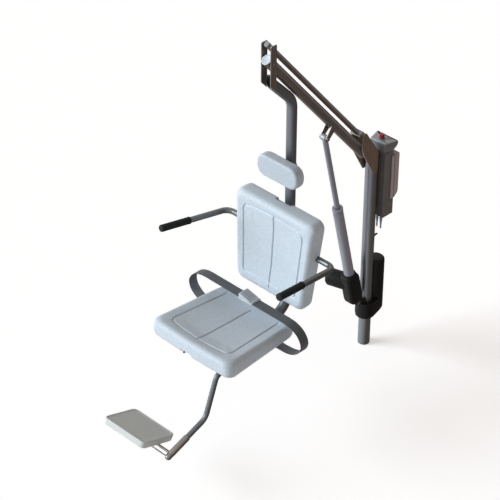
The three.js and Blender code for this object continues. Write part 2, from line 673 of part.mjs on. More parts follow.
function makeFootBracket() {
  const outline = [
    [pinY - foot.eye, pinZ - foot.eye], [pinY, pinZ - foot.eye - foot.crown],
    [0, pinZ - foot.low], [0, pinZ + foot.high], [pinY, pinZ + foot.eye + foot.crown],
    [pinY - foot.eye, pinZ + foot.eye],
  ];
  const bore = [[pinY, pinZ, boltRadius + fit]];
  const mastSpace = postBar(0, 0, pinZ - foot.low * 2, pinZ + foot.low * 2, mast.radius + fit);
  const plates = [-foot.inner - foot.thick, foot.inner]
    .map((x) => prism("x", outline, x, x + foot.thick, bore));
  const saddle = block(-foot.inner - foot.thick / 2, foot.inner + foot.thick / 2,
    -mast.radius - foot.thick, 0, pinZ - foot.low, pinZ + foot.high);
  add("actuator_foot_bracket", cut(join(saddle, ...plates), mastSpace), "black");
  bolt("actuator_bottom_pin", pinY, pinZ, foot.inner + foot.thick);
}

function makeMotor() {
  const turn = radians(motor.turn);
  const along = vec(-Math.cos(turn), 0, 0).addScaledVector(actuatorSide, -Math.sin(turn));
  const start = onActuator(motor.axis);
  const place = (s) => start.clone().addScaledVector(along, s);
  const begin = gearbox.width / 2 - motor.start;
  const end = motor.length;
  const rings = [
    [begin, motor.radius], [end - motor.edge, motor.radius],
    [end - motor.edge * 0.6, motor.radius - motor.edge * 0.1],
    [end - motor.edge * 0.25, motor.radius - motor.edge * 0.4], [end, motor.radius - motor.edge],
  ].map(([s, r]) => ring(place(s), along, r, round));
  const boxed = loft([-gearbox.width / 2 - fit, gearbox.width / 2 + fit].map((x) =>
    gearboxOutline(fit).map((p) => vec(x, p.y, p.z))));
  add("actuator_motor", cut(loft(rings), boxed), "black");
}

// Hanger plates and the bent seat post.
const tilt = radians(postBend.tilt);
const postTop = vec(0, hangerPivot.y - hanger.front * 3, 0);
postTop.z = post.cornerHigh + (post.y - postTop.y) * Math.tan(tilt);

function makeHanger() {
  const y = hangerPivot.y;
  const z = hangerPivot.z;
  const outline = [
    [y - hanger.front, z + hanger.top], [y - hanger.front, z - hanger.low],
    [y + hanger.rear, z - hanger.lowRear], [y + hanger.rear, z + hanger.top],
  ];
  const bores = [[y, z, boltRadius + fit], [y, z + pivot.spread, boltRadius + fit]];
  for (const [name, x] of [["left", -hanger.inner - hanger.thick], ["right", hanger.inner]]) {
    add("hanger_plate_" + name, prism("x", outline, x, x + hanger.thick, bores), "bronze");
  }
  const path = bent([
    postTop, vec(0, post.y, post.cornerHigh), vec(0, post.y, post.low), vec(0, -post.end, post.low),
  ], [postBend.high, postBend.low]);
  const front = y - hanger.front;
  const beyond = block(-post.radius * 2, post.radius * 2, front - pad.half * 2, front,
    post.cornerHigh, hangerLinkPivot.z);
  add("seat_post_tube", cut(tubeAlong(path, post.radius, post.wall, round), beyond), "steel");
}

function makeHeadrest() {
  const outline = roundedOutline(-clamp.half, clamp.half, clamp.low, clamp.high, clamp.corner);
  const postSpace = postBar(0, post.y, clamp.low - clamp.depth, clamp.high + clamp.depth,
    post.radius + fit);
  const rear = post.y + post.radius + clamp.strap;
  const body = prism("y", outline, -clamp.front, rear);
  const pockets = [-1, 1].flatMap((s) => {
    const inner = post.radius + clamp.strap;
    const [x0, x1] = s > 0 ? [inner, clamp.half + fit] : [-clamp.half - fit, -inner];
    const plateFront = post.y - clamp.depth / 2;
    return [
      block(x0, x1, -clamp.front - fit, plateFront, clamp.low - fit, clamp.high + fit),
      block(x0, x1, plateFront + clamp.depth, rear + fit, clamp.low - fit, clamp.high + fit),
    ];
  });
  add("headrest_clamp", cut(body, postSpace, ...pockets), "black");
  const high = pad.high / 2;
  const steps = 8;
  const padRing = (y, inset) => {
    const r = high - inset;
    return roundedOutline(-pad.half + inset, pad.half - inset, pad.z - r, pad.z + r, r, steps)
      .map(([x, z]) => vec(x, -y, z));
  };
  add("headrest_pad", loft([
    padRing(pad.back, pad.edge / 2), padRing(pad.back + pad.edge / 3, pad.edge / 6),
    padRing(pad.back + pad.edge, 0), padRing(pad.front - pad.edge * 0.75, 0),
    padRing(pad.front - pad.edge * 0.3, pad.edge * 0.25), padRing(pad.front, pad.edge),
  ]), "moulding");
}

// Grid stations across and along a moulding, closer together at the grooves and edges.
const sideShares = [0.745, 0.76, 0.775];
const halfAcrossShares = [0.018, 0.18, 0.37, 0.56, ...sideShares, 0.88, 0.94, 0.985, 1];
const acrossShares = [
  ...halfAcrossShares.slice().reverse().map((share) => -share), 0, ...halfAcrossShares,
];
const arcShares = [0.835, 0.8475, 0.86];
const alongShares = [
  0, 0.012, 0.045, 0.09, 0.16, 0.28, 0.4, 0.52, 0.64, 0.76, ...arcShares, 0.91, 0.955, 0.988, 1,
];
const grooveStartShare = 0.14;
const sameLineShare = 0.008;
const edgeStartShare = 0.88;

// How deep the grooves are at a place on a moulding, as a share of the full depth.
function grooveShare(across, along) {
  const side = sideShares[1];
  const arc = arcShares[1];
  const onSide = Math.abs(Math.abs(across) - side) < sameLineShare;
  const onMiddle = Math.abs(across) < sameLineShare;
  const onArc = Math.abs(along - arc) < sameLineShare && Math.abs(across) < side + sameLineShare;
  const inPanel = along > grooveStartShare && along < arc + sameLineShare;
  return ((onSide || onMiddle) && inPanel) || onArc ? 1 : 0;
}

// How far a rounded edge has dropped, from nothing inside to one at the rim.
function edgeDrop(share) {
  const t = Math.max(0, (Math.abs(share) - edgeStartShare) / (1 - edgeStartShare));
  return 1 - Math.sqrt(1 - t * t);
}

// How far a dished middle has sunk, from one on its centre line to nothing near the sides.
function dishShare(across) {
  const flatShare = 0.9;
  const t = Math.min(1, Math.abs(across) / flatShare);
  return 1 - t * t;
}

// A moulding as a sheet of places: the form gives a point from across, along and a drop share.
function moulding(place) {
  const rows = alongShares.length;
  const columns = acrossShares.length;
  const top = alongShares.map((v) => acrossShares.map((u) => place(u, v, false)));
  const under = alongShares.map((v) => acrossShares.map((u) => place(u, v, true)));
  const points = [...top.flat(), ...under.flat()];
  const index = [];
  const offset = rows * columns;
  for (let r = 0; r < rows - 1; r++) {
    for (let c = 0; c < columns - 1; c++) {
      const a = r * columns + c;
      const quad = [a, a + 1, a + columns + 1, a + columns];
      index.push(quad[0], quad[1], quad[2], quad[0], quad[2], quad[3]);
      const low = quad.map((i) => i + offset);
      index.push(low[0], low[2], low[1], low[0], low[3], low[2]);
    }
  }
  const rim = [];
  for (let c = 0; c < columns - 1; c++) rim.push(c);
  for (let r = 0; r < rows - 1; r++) rim.push(r * columns + columns - 1);
  for (let c = columns - 1; c > 0; c--) rim.push((rows - 1) * columns + c);
  for (let r = rows - 1; r > 0; r--) rim.push(r * columns);
  rim.forEach((a, i) => {
    const b = rim[(i + 1) % rim.length];
    index.push(b, a, a + offset, b, a + offset, b + offset);
  });
  const geometry = new THREE.BufferGeometry().setFromPoints(points);
  geometry.setIndex(index);
  return outward(geometry);
}

// Pulls a place on the unit square in, so that the square gets round corners.
function cornered(u, v, cornerU, cornerV) {
  const a = Math.abs(u);
  const b = Math.abs(v);
  const over = Math.min(a, b);
  const most = Math.max(a, b);
  if (most === 0) return [u, v];
  const limit = 1 - cornerU;
  const t = Math.max(0, (over / most - limit) / cornerU) * most;
  const pull = 1 - (1 - Math.SQRT1_2) * cornerU * t * t * (1 + cornerV);
  return [u * pull, v * pull];
}

const mix = (a, b, t) => a + (b - a) * t;

// The seat: a tray with a rolled front, drawn-in sides and three channels.
function seatPlace(u, v, under) {
  const cornerShare = 0.15;
  const [cu, cv] = cornered(u, 2 * v - 1, cornerShare, 0);
  const along = (cv + 1) / 2;
  const inset = under ? groove.half * 2 : 0;
  const half = mix(seat.halfRear, seat.halfFront, along) - inset;
  const bow = seat.bow * (1 - cu * cu) * v;
  const y = -mix(seat.rear + inset, seat.front - inset, along) - bow;
  if (under) return vec(cu * half, y + bow, seat.bottom);
  const rimHigh = mix(seat.highRear, seat.highFront, along);
  const dish = seat.dish * dishShare(u) * Math.min(1, 4 * (1 - v));
  const drop = Math.max(edgeDrop(u), edgeDrop(2 * v - 1)) * seat.edge;
  return vec(cu * half, y, rimHigh - dish - drop - groove.depth * grooveShare(u, v));
}

// The backrest: the same form stood up, thicker at its head.
function backPlace(u, v, under) {
  const cornerShare = 0.14;
  const [cu, cv] = cornered(u, 2 * v - 1, cornerShare, 0);
  const along = (cv + 1) / 2;
  const inset = under ? groove.half : 0;
  const half = mix(back.halfLow, back.halfHigh, along) - inset;
  const z = mix(back.low + inset, back.high - inset, along);
  const lean = (z - back.low) / (back.high - back.low);
  const front = mix(back.frontLow, back.frontHigh, lean);
  const thick = mix(back.thickLow, back.thickHigh, lean);
  if (under) return vec(cu * half, thick - front, z);
  const dish = back.dish * dishShare(u) * Math.min(1, 3 * v) * Math.min(1, 4 * (1 - v));
  const drop = Math.max(edgeDrop(u), edgeDrop(2 * v - 1)) * back.edge;
  return vec(cu * half, dish + drop + groove.depth * grooveShare(u, v) - front, z);
}

function makeMouldings() {
  const frontSpace = block(-frontNotch.left, frontNotch.right, -seat.front - frontNotch.deep,
    -seat.front + frontNotch.deep, seat.bottom - fit, seat.bottom + frontNotch.high);
  add("seat_moulding", cut(moulding(seatPlace), frontSpace), "moulding");
  const rearHigh = back.frontHigh - back.thickHigh;
  const postSpace = block(-notch.half, notch.half, -rearHigh - notch.deep, -rearHigh + notch.deep,
    back.high - notch.high, back.high + notch.high);
  const bores = [1, -1].map((s) => crossBar(armrest.y, armrest.z, s * (armrest.inner - play),
    s * armrest.outer, armrest.radius + fit));
  const channel = postBar(0, post.y, back.low - back.edge, back.high + back.edge,
    post.radius + back.channel);
  add("backrest_moulding", cut(moulding(backPlace), postSpace, channel, ...bores), "moulding");
}

// Blocks that carry the backrest on the seat post.
function makeBackMounts() {
  for (const [name, z] of [["upper", mount.upper], ["lower", mount.lower]]) {
    const lean = (z - back.low) / (back.high - back.low);
    const slope = (back.thickHigh - back.thickLow - back.frontHigh + back.frontLow)
      / (back.high - back.low);
    const rear = mix(back.thickLow - back.frontLow, back.thickHigh - back.frontHigh, lean);
    const half = mount.high / 2;
    const side = [
      [rear + fit - slope * half, z - half], [rear + fit + slope * half, z + half],
      [post.y - post.radius / 2, z + half], [post.y - post.radius / 2, z - half],
    ];
    const body = prism("x", side, -mount.half, mount.half);
    const space = postBar(0, post.y, z - mount.high, z + mount.high, post.radius + fit);
    add("back_mount_" + name, cut(body, space), "black");
  }
}

function makeArmrests() {
  for (const [name, s] of [["left", -1], ["right", 1]]) {
    const bendPoint = vec(s * armrest.outer, armrest.y, armrest.z);
    const gripEnd = vec(s * grip.endX, -grip.end, grip.endZ);
    const along = gripEnd.clone().sub(bendPoint).normalize();
    const place = (back) => gripEnd.clone().addScaledVector(along, -back);
    const tubeEnd = place(grip.cap + fit);
    const path = bent([vec(s * armrest.inner, armrest.y, armrest.z), bendPoint, tubeEnd],
      [armrest.bend]);
    const tube = tubeAlong(path, armrest.radius, armrest.wall, slim);
    add("armrest_tube_" + name, tube, "steel");
    const rings = [
      [grip.length, grip.radius - grip.lip], [grip.length - grip.lip, grip.radius],
      [grip.edge, grip.radius], [0, grip.radius - grip.edge],
    ].map(([back, r]) => ring(place(back), along, r, slim));
    const space = rodAlong(path, armrest.radius + fit, slim);
    add("armrest_grip_" + name, cut(loft(rings), space), "grip");
  }
}

// Frame under the seat: two hollow bars on the post, the rail end and the leg's socket.
function makeSeatFrame() {
  const low = post.low + post.radius + fit;
  const high = seat.bottom - fit;
  for (const [name, y] of [["front", bar.front], ["rear", bar.rear]]) {
    const halfDeep = bar.deep / 2;
    const body = block(-bar.half, bar.half, -y - halfDeep, -y + halfDeep, low, high);
    const isFront = y === bar.front;
    const inside = block(-bar.half - fit, bar.half + fit, -y - halfDeep + bar.wall,
      -y + halfDeep - bar.wall, low + bar.wall, high - bar.wall);
    const rail = bar2(vec(tongue.x, -bar.front - halfDeep + bar.wall / 2, tongue.z),
      vec(tongue.x, -tongue.end, tongue.z), tongue.radius, small);
    const hollowed = cut(body, inside);
    add("seat_frame_bar_" + name, isFront ? join(hollowed, rail) : hollowed, "steel");
  }
  const socketPath = [vec(socket.x, -socket.start, socket.z), vec(socket.x, -socket.end, socket.z)];
  const socketTube = tubeAlong(socketPath, socket.radius, socket.radius - leg.radius - fit);
  const ear = block(bar.half + fit, socket.x - leg.radius - fit, -bar.front - bar.deep / 4,
    -bar.front + bar.deep / 4, low, high);
  add("leg_socket_tube", join(socketTube, ear), "steel");
}

const slope = radians(legBend.slope);
const legDown = vec(0, -Math.cos(slope), -Math.sin(slope));
const onLeg = (y) => vec(socket.x, -y, legBend.z - (y - legBend.y) * Math.tan(slope));

function makeLeg() {
  const path = bent([
    vec(socket.x, -leg.start, socket.z), vec(socket.x, -leg.kneeY, socket.z),
    onLeg(legBend.y), onLeg(leg.toe),
  ], [legBend.knee, legBend.ankle]);
  add("leg_tube", tubeAlong(path, leg.radius, leg.wall, slim), "steel");
  const profile = [
    [sleeve.start, sleeve.radius], [sleeve.shoulder, sleeve.radius],
    [sleeve.shoulder, sleeve.cap], [sleeve.end - sleeve.edge, sleeve.cap],
    [sleeve.end, sleeve.cap - sleeve.edge],
  ];
  const bodyRings = profile.map(([y, r]) => ring(onLeg(y), legDown, r, round));
  const space = bar2(onLeg(sleeve.start - fit), onLeg(leg.toe + play), leg.radius + fit);
  const rods = [[footRods.thickY, footRods.thick], [footRods.thinY, footRods.thin]].map(([y, r]) => {
    const p = onLeg(y);
    return bar2(vec(socket.x, p.y, p.z), vec(socket.x - footRods.reach, p.y, p.z), r, small);
  });
  const tie = bar2(
    vec(socket.x - footRods.reach + footRods.thick, -footRods.thickY, onLeg(footRods.thickY).z),
    vec(socket.x - footRods.reach + footRods.thick, -footRods.thinY, onLeg(footRods.thinY).z),
    footRods.thin, small);
  add("footrest_sleeve", cut(join(loft(bodyRings), ...rods, tie), space), "bronze");
}

function makeFootrest() {
  const lean = radians(rest.tilt);
  const forward = vec(0, -Math.cos(lean), Math.sin(lean));
  const up = vec(0, Math.sin(lean), Math.cos(lean));
  const centre = vec(rest.x, -rest.y, rest.z);
  const padRing = (depth, inset) => roundedOutline(-rest.half + inset, rest.half - inset,
    -rest.length / 2 + inset, rest.length / 2 - inset, rest.corner - inset / 2)
    .map(([a, b]) => centre.clone().add(vec(a, 0, 0)).addScaledVector(forward, b)
      .addScaledVector(up, -depth));
  add("footrest_pad", loft([
    padRing(rest.thick, restEdge), padRing(rest.thick - restEdge, 0),
    padRing(restEdge, 0), padRing(restEdge / 3, restEdge / 3), padRing(0, restEdge),
  ]), "tread");
}

// A thin strip of webbing: its width lies along Y and its middle follows pairs of X and Z.
function strip(places) {
  const path = places.map(([x, z]) => vec(x, -belt.y, z));
  return loft(path.map((p, i) => {
    const along = tangent(path, i);
    const through = vec(-along.z, 0, along.x);
    return [[1, 1], [-1, 1], [-1, -1], [1, -1]].map(([a, b]) => p.clone()
      .addScaledVector(vec(0, 1, 0), (a * belt.width) / 2)
      .addScaledVector(through, (b * belt.thick) / 2));
  }));
}

// The loop at either side as shares of its reach out from the bar's end and of its rise to the lap.
const loopOutShares = [
  0, 0.25, 0.5, 0.64, 0.76, 0.88, 0.96, 1, 1, 0.96, 0.88, 0.77, 0.63, 0.47, 0.3,
];
const loopRiseShares = [
  0, 0, 0.01, 0.035, 0.09, 0.19, 0.31, 0.45, 0.57, 0.7, 0.83, 0.92, 0.98, 1, 1,
];

// One length of belt: from the bar's end under the seat, round its side and across the lap.
function beltPlaces(side, endX) {
  const places = loopOutShares.map((out, i) => [
    side * (bar.half + fit + belt.reach * out),
    mix(belt.anchor, belt.lap, loopRiseShares[i]),
  ]);
  return [...places, [endX, belt.lap]];
}

function makeBelt() {
  const half = buckle.length / 2;
  const lengths = { left: [-1, buckle.x - half + buckle.grip], right: [1, buckle.x + half - buckle.grip] };
  for (const [name, [side, endX]] of Object.entries(lengths)) {
    add("seat_belt_" + name, strip(beltPlaces(side, endX)), "webbing");
  }
  const under = belt.lap - buckle.base;
  const outline = [
    [buckle.x - half, under], [buckle.x + half, under],
    [buckle.x + half, belt.lap + buckle.low - buckle.edge],
    [buckle.x + half - buckle.edge, belt.lap + buckle.low],
    [buckle.x - half + buckle.edge, belt.lap + buckle.high],
    [buckle.x - half, belt.lap + buckle.high - buckle.edge],
  ];
  const body = prism("y", outline, -belt.y - buckle.width / 2, -belt.y + buckle.width / 2);
  const slotDeep = belt.width / 2 + play;
  const slots = [-1, 1].map((s) => {
    const mouth = buckle.x + s * (half + fit);
    const end = buckle.x + s * (half - buckle.grip - play);
    return block(Math.min(mouth, end), Math.max(mouth, end), -belt.y - slotDeep,
      -belt.y + slotDeep, belt.lap - buckle.slot / 2, belt.lap + buckle.slot / 2);
  });
  add("belt_buckle", cut(body, ...slots), "grey");
}

// Control box behind the mast.
function boxRing(front, rear, halfFront, halfRear, z, inset = 0) {
  const corners = [
    [halfFront - inset, front + inset], [halfRear - inset, rear - inset],
    [-halfRear + inset, rear - inset], [-halfFront + inset, front + inset],
  ];
  const steps = 3;
  return corners.flatMap(([x, y], i) => {
    const before = corners[(i + 3) % 4];
    const after = corners[(i + 1) % 4];
    const p = new THREE.Vector2(x, y);
    const a = new THREE.Vector2(...before).sub(p).normalize().multiplyScalar(box.corner).add(p);
    const b = new THREE.Vector2(...after).sub(p).normalize().multiplyScalar(box.corner).add(p);
    return Array.from({ length: steps + 1 }, (_, k) => {
      const t = k / steps;
      const q = a.clone().multiplyScalar((1 - t) ** 2)
        .addScaledVector(p, 2 * t * (1 - t)).addScaledVector(b, t * t);
      return vec(q.x, q.y, z);
    });
  });
}

function makeBox() {
  const shape = (z, inset = 0) =>
    boxRing(box.front, box.rear, box.halfFront, box.halfRear, z, inset);
  add("control_box_body", loft([
    shape(box.bottom, box.crown / 2), shape(box.bottom + box.crown / 2), shape(box.neck - fit),
  ]), "boxBody");
  const headShape = (z, share, inset = 0) => boxRing(box.headFront,
    mix(box.rear, box.headRear, share), mix(box.halfFront, box.headFrontHalf, share),
    mix(box.halfRear, box.headHalf, share), z, inset);
  const headBody = loft([
    headShape(box.neck, 0.4), headShape(box.neck + box.crown, 0.85),
    headShape(box.top - box.crown, 1), headShape(box.top - box.crown / 3, 1, box.crown / 3),
    headShape(box.top, 1, box.crown),
  ]);
  const stemSpace = postBar(0, stop.y, box.top - stop.stemLow * 1.5, box.top + fit,
    stop.stem + fit, small);
  add("control_box_head", cut(headBody, stemSpace), "boxHead");
  const collarLow = box.top + fit;
  const collarHigh = collarLow + stop.collarHigh;
  add("stop_button_collar", tubeAlong([vec(0, stop.y, collarLow), vec(0, stop.y, collarHigh)],
    stop.collar, stop.collar - stop.stem - play, round), "black");
  const capLow = collarHigh + stop.stem;
  add("stop_button", turnedBody(0, stop.y, [
    [stop.stem, box.top - stop.stemLow], [stop.stem, capLow], [stop.radius, capLow],
    [stop.radius, capLow + stop.high * 0.6], [stop.radius * 0.75, capLow + stop.high * 0.9],
    [stop.radius * 0.3, capLow + stop.high],
  ], round), "red");
}

function makeBattery() {
  const outline = [
    [battery.front, battery.low], [battery.rear - battery.chamfer, battery.low],
    [battery.rear, battery.low + battery.chamfer], [battery.rear, battery.high - battery.edge],
    [battery.rear - battery.edge, battery.high], [battery.front, battery.high],
  ];
  const centreY = (battery.front + battery.rear) / 2;
  const centreZ = (battery.low + battery.high) / 2;
  const rings = [
    [-battery.half, battery.edge], [-battery.half + battery.edge, 0],
    [battery.half - battery.edge, 0], [battery.half, battery.edge],
  ].map(([x, inset]) => outline.map(([y, z]) =>
    vec(x, y - Math.max(0, Math.sign(y - centreY)) * inset, z - Math.sign(z - centreZ) * inset)));
  add("battery_pack", loft(rings), "battery");
  const bracketBody = block(-boxBracket.half, boxBracket.half, boxBracket.front, box.front - fit,
    boxBracket.low, boxBracket.high);
  add("control_box_bracket", cut(bracketBody, postBar(0, 0, boxBracket.low - fit,
    boxBracket.high + fit, mast.radius + fit)), "bronze");
  for (const [name, x] of [["a", cablePlug.x], ["b", cablePlug.x + cablePlug.gap]]) {
    const top = box.bottom - fit;
    add("cable_plug_" + name, turnedBody(x, cablePlug.y, [
      [cablePlug.neck, top - cablePlug.length], [cablePlug.neck, top - cablePlug.length / 2],
      [cablePlug.radius, top - cablePlug.high], [cablePlug.radius, top],
    ], small), "grey");
  }
}

makeStub();
makeBearing();
makeHub();
makeSlewDrive();
makeMast();
makePivots();
makeArm();
makeLink();
makeLug();
makeActuator();
makeGearbox();
makeFootBracket();
makeMotor();
makeHanger();
makeHeadrest();
makeMouldings();
makeBackMounts();
makeArmrests();
makeSeatFrame();
makeLeg();
makeFootrest();
makeBelt();
makeBox();
makeBattery();

export default group;
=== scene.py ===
"""Looks of the pool patient lift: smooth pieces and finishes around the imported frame.

Sizes in the functions are millimetres in the row frame; meshes are written in metres.
"""

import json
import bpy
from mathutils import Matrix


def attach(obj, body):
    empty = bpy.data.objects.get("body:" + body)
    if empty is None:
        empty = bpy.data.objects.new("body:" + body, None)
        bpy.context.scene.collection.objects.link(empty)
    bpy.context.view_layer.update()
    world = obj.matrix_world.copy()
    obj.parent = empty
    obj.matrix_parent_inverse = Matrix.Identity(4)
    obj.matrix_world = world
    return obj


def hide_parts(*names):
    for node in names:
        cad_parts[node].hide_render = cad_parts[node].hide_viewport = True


bl_info = {
    "name": "Pool Patient Lift Looks",
    "version": (1, 0, 0),
    "blender": (4, 5, 0),
    "location": "View3D > Sidebar > Pool Lift",
    "description": "Builds the pieces and finishes of a pool patient lift around its packed frame",
    "category": "Object",
}

import bmesh
import bpy
import numpy as np

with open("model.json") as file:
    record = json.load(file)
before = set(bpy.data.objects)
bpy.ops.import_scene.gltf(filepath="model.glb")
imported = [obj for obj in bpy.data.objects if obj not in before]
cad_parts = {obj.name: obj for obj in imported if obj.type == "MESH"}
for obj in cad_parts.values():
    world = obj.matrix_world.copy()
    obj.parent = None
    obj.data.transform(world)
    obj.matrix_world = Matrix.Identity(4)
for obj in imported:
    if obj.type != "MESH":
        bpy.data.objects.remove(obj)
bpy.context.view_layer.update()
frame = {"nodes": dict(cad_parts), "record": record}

MM = 0.001
FIT = 0.3
BODY_OF = {
    node: body
    for body, nodes in frame["record"]["behaviour"]["bodies"].items()
    for node in nodes
}
X = np.array([1.0, 0.0, 0.0])
Y = np.array([0.0, 1.0, 0.0])
Z = np.array([0.0, 0.0, 1.0])


def linear(code):
    """A screen colour such as 'c3d2de' as scene-linear red, green and blue."""
    screen = np.array([int(code[i:i + 2], 16) for i in (0, 2, 4)]) / 255
    low = screen / 12.92
    high = ((screen + 0.055) / 1.055) ** 2.4
    return tuple(float(v) for v in np.where(screen <= 0.04045, low, high))


def length(name, text, default):
    """A size in metres that can be changed in the panel."""
    return bpy.props.FloatProperty(name=name, description=text, default=default,
                                   min=0.0, unit="LENGTH", subtype="DISTANCE")


def share(name, text, default):
    """A number from 0 to 1 that can be changed in the panel."""
    return bpy.props.FloatProperty(name=name, description=text, default=default,
                                   min=0.0, max=1.0, subtype="FACTOR")


def colour(name, text, code):
    """A colour that can be changed in the panel."""
    return bpy.props.FloatVectorProperty(name=name, description=text, default=linear(code),
                                         min=0.0, max=1.0, size=3, subtype="COLOR")


class LiftSizes(bpy.types.PropertyGroup):
    groove_depth: length("Groove depth", "How deep the moulded drain grooves are", 0.0052)
    groove_half: length("Groove half width", "Half the width of a drain groove", 0.0063)
    seat_dish: length("Seat dish", "How far the seat sinks in its middle", 0.016)
    back_dish: length("Back dish", "How far the backrest sinks in its middle", 0.014)
    belt_width: length("Belt width", "Width of the lap belt's webbing", 0.050)
    belt_thick: length("Belt thickness", "Thickness of the lap belt's webbing", 0.0026)
    plate_edge: length("Plate edge", "Rounding of the cut steel plates' edges", 0.0012)


class LiftColours(bpy.types.PropertyGroup):
    moulding: colour("Moulded seat", "Pale plastic of seat, back and headrest", "c9d5df")
    tread: colour("Footrest", "Top of the footrest", "cfd4d2")
    steel: colour("Stainless steel", "Mast, stub and tubes", "858a8f")
    rail: colour("Armrest steel", "Armrest tubes", "6e7071")
    post: colour("Seat post steel", "Post, frame and leg", "797f85")
    bronze: colour("Coated arm", "Lift arm, link and plates", "7d7671")
    # Painted highlight: the pale sheen painted along the top of arm and link.
    sheen: colour("Painted film", "Pale film along the top of arm and link", "a3a8b2")
    plate: colour("Bracket plates", "Browner coat of the mast's bracket plates", "8f8074")
    black: colour("Black covers", "Hub, motor cover and gear housing", "131313")
    grip: colour("Grip rubber", "Armrest grips", "1b1f1f")
    webbing: colour("Webbing", "Lap belt", "4f5357")
    anodised: colour("Actuator", "Actuator rod and tube", "989aa5")
    box: colour("Control box", "Body of the control box", "6a6765")
    box_head: colour("Control box head", "Lighter top of the control box", "6b6c6e")
    battery: colour("Battery", "Battery pack", "aa9e9d")
    button: colour("Stop button", "Emergency stop button", "94191d")
    plug: colour("Plugs", "Grey plastic plugs and buckle", "c6ced4")
    lead: colour("Lead plugs", "Tapered plugs under the control box", "878f98")
    link_plug: colour("Link plug", "Darker plug in the upper link's end", "8f9596")
    sleeve: colour("Footrest sleeve", "Sleeve and rods that carry the footrest", "86827c")
    leg: colour("Leg steel", "Leg tube and seat frame", "6b6e72")
    end_plug: colour("Arm plug", "Pale plug in the arm's end", "d3e0ea")
    bush: colour("Bush", "Bronze bearing bush", "9a7a45")


class LiftStage(bpy.types.PropertyGroup):
    key_power: bpy.props.FloatProperty(
        name="Key light", description="Strength of the soft sun from the front left",
        default=3.4, min=0.0)
    fill: bpy.props.FloatProperty(
        name="Fill", description="Strength of the light from all round", default=0.29, min=0.0)
    floor_albedo: share("Floor shade", "How strongly the floor shows shadows", 0.98)
    floor_glow: share("Floor glow", "What the floor adds so that it comes out white", 0.41)


def sizes():
    return bpy.context.scene.lift_sizes


def colours():
    return bpy.context.scene.lift_colours


def unit(v):
    """A vector over its length."""
    v = np.asarray(v, float)
    return v / np.linalg.norm(v, axis=-1, keepdims=True)


def mix(a, b, t):
    """a at t = 0 and b at t = 1, in a straight line."""
    return a + (b - a) * t


def turn_angles(count):
    """Evenly spaced angles round a full turn, from 0."""
    return np.arange(count) * 2 * np.pi / count


def rounded(points, radius, steps=5, closed=True):
    """A polyline with curved corners: corner p becomes (1-t)^2 a + 2t(1-t) p + t^2 b, where a and
    b lie radius away along its two sides, but never past half a side."""
    p = np.asarray(points, float)
    before = np.roll(p, 1, axis=0) - p
    after = np.roll(p, -1, axis=0) - p
    reach_b = np.linalg.norm(before, axis=1)
    reach_a = np.linalg.norm(after, axis=1)
    r = np.minimum(radius, 0.499 * np.minimum(reach_b, reach_a))
    a = (p + before * (r / reach_b)[:, None])[:, None]
    b = (p + after * (r / reach_a)[:, None])[:, None]
    t = np.linspace(0, 1, steps + 1)[None, :, None]
    curve = (1 - t) ** 2 * a + 2 * t * (1 - t) * p[:, None] + t ** 2 * b
    if closed:
        return curve.reshape(-1, p.shape[1])
    return np.vstack([p[:1], curve[1:-1].reshape(-1, p.shape[1]), p[-1:]])


def bent(corners, radii, steps):
    """A path through corners, each replaced by a circular arc of its radius: the arc's points are
    its centre plus the two end spokes mixed by sines of the angle run."""
    corners = [np.asarray(c, float) for c in corners]
    path = [corners[0][None]]
    for i, radius in enumerate(radii, start=1):
        back = unit(corners[i - 1] - corners[i])
        on = unit(corners[i + 1] - corners[i])
        half = np.arccos(np.clip(back @ on, -1, 1)) / 2
        centre = corners[i] + unit(back + on) * radius / np.sin(half)
        start = corners[i] + back * radius / np.tan(half) - centre
        end = corners[i] + on * radius / np.tan(half) - centre
        sweep = np.pi - 2 * half
        k = np.linspace(0, 1, steps + 1)[:, None]
        path.append(centre + (np.sin((1 - k) * sweep) * start + np.sin(k * sweep) * end)
                    / np.sin(sweep))
    path.append(corners[-1][None])
    return np.vstack(path)


def directions(path):
    """At each point of a path the unit vector from the point before to the point after."""
    ahead = np.vstack([path[1:], path[-1:]])
    behind = np.vstack([path[:1], path[:-1]])
    return unit(ahead - behind)


def square_pair(along):
    """Two unit vectors square to each direction: one fixed axis made square to it, and the cross
    product of the two."""
    fixed = Z if abs(along.reshape(-1, 3)[0, 0]) > 0.5 else X
    side = unit(fixed - (along @ fixed)[..., None] * along)
    return side, np.cross(along, side)


def skin(path, radii, count):
    """Rings round a path: point + radius (cos a side + sin a square)."""
    path = np.asarray(path, float)
    radii = np.broadcast_to(np.asarray(radii, float), len(path))
    side, square = square_pair(directions(path))
    a = turn_angles(count)[None, :, None]
    return path[:, None] + radii[:, None, None] * (
        np.cos(a) * side[:, None] + np.sin(a) * square[:, None])


def quarter(steps):
    """The shares of a rounded edge, for an angle a from 0 to a right angle: how far each ring is
    drawn in, 1 - sin a, and how far on it stands, 1 - cos a."""
    a = np.linspace(0, np.pi / 2, steps + 1)
    return 1 - np.sin(a), 1 - np.cos(a)


def grid_faces(rows, columns, rows_closed, columns_closed):
    """The quads between neighbouring rows and columns of a grid, point r c being number
    r * columns + c; a closed direction joins its last line to its first."""
    r = np.arange(rows if rows_closed else rows - 1)
    c = np.arange(columns if columns_closed else columns - 1)
    r, c = np.meshgrid(r, c, indexing="ij")
    nr = (r + 1) % rows
    nc = (c + 1) % columns
    quads = [r * columns + c, r * columns + nc, nr * columns + nc, nr * columns + c]
    return np.stack(quads, axis=-1).reshape(-1, 4)


def loft(rings, closed=False):
    """A closed surface through rings of equal counts: side walls between neighbours and, unless
    the rings close on themselves, one flat cap at each end."""
    rings = np.asarray(rings, float)
    rows, columns = rings.shape[:2]
    faces = grid_faces(rows, columns, closed, True).tolist()
    if not closed:
        faces.append(list(range(columns))[::-1])
        faces.append(list(range((rows - 1) * columns, rows * columns)))
    return rings.reshape(-1, 3), faces


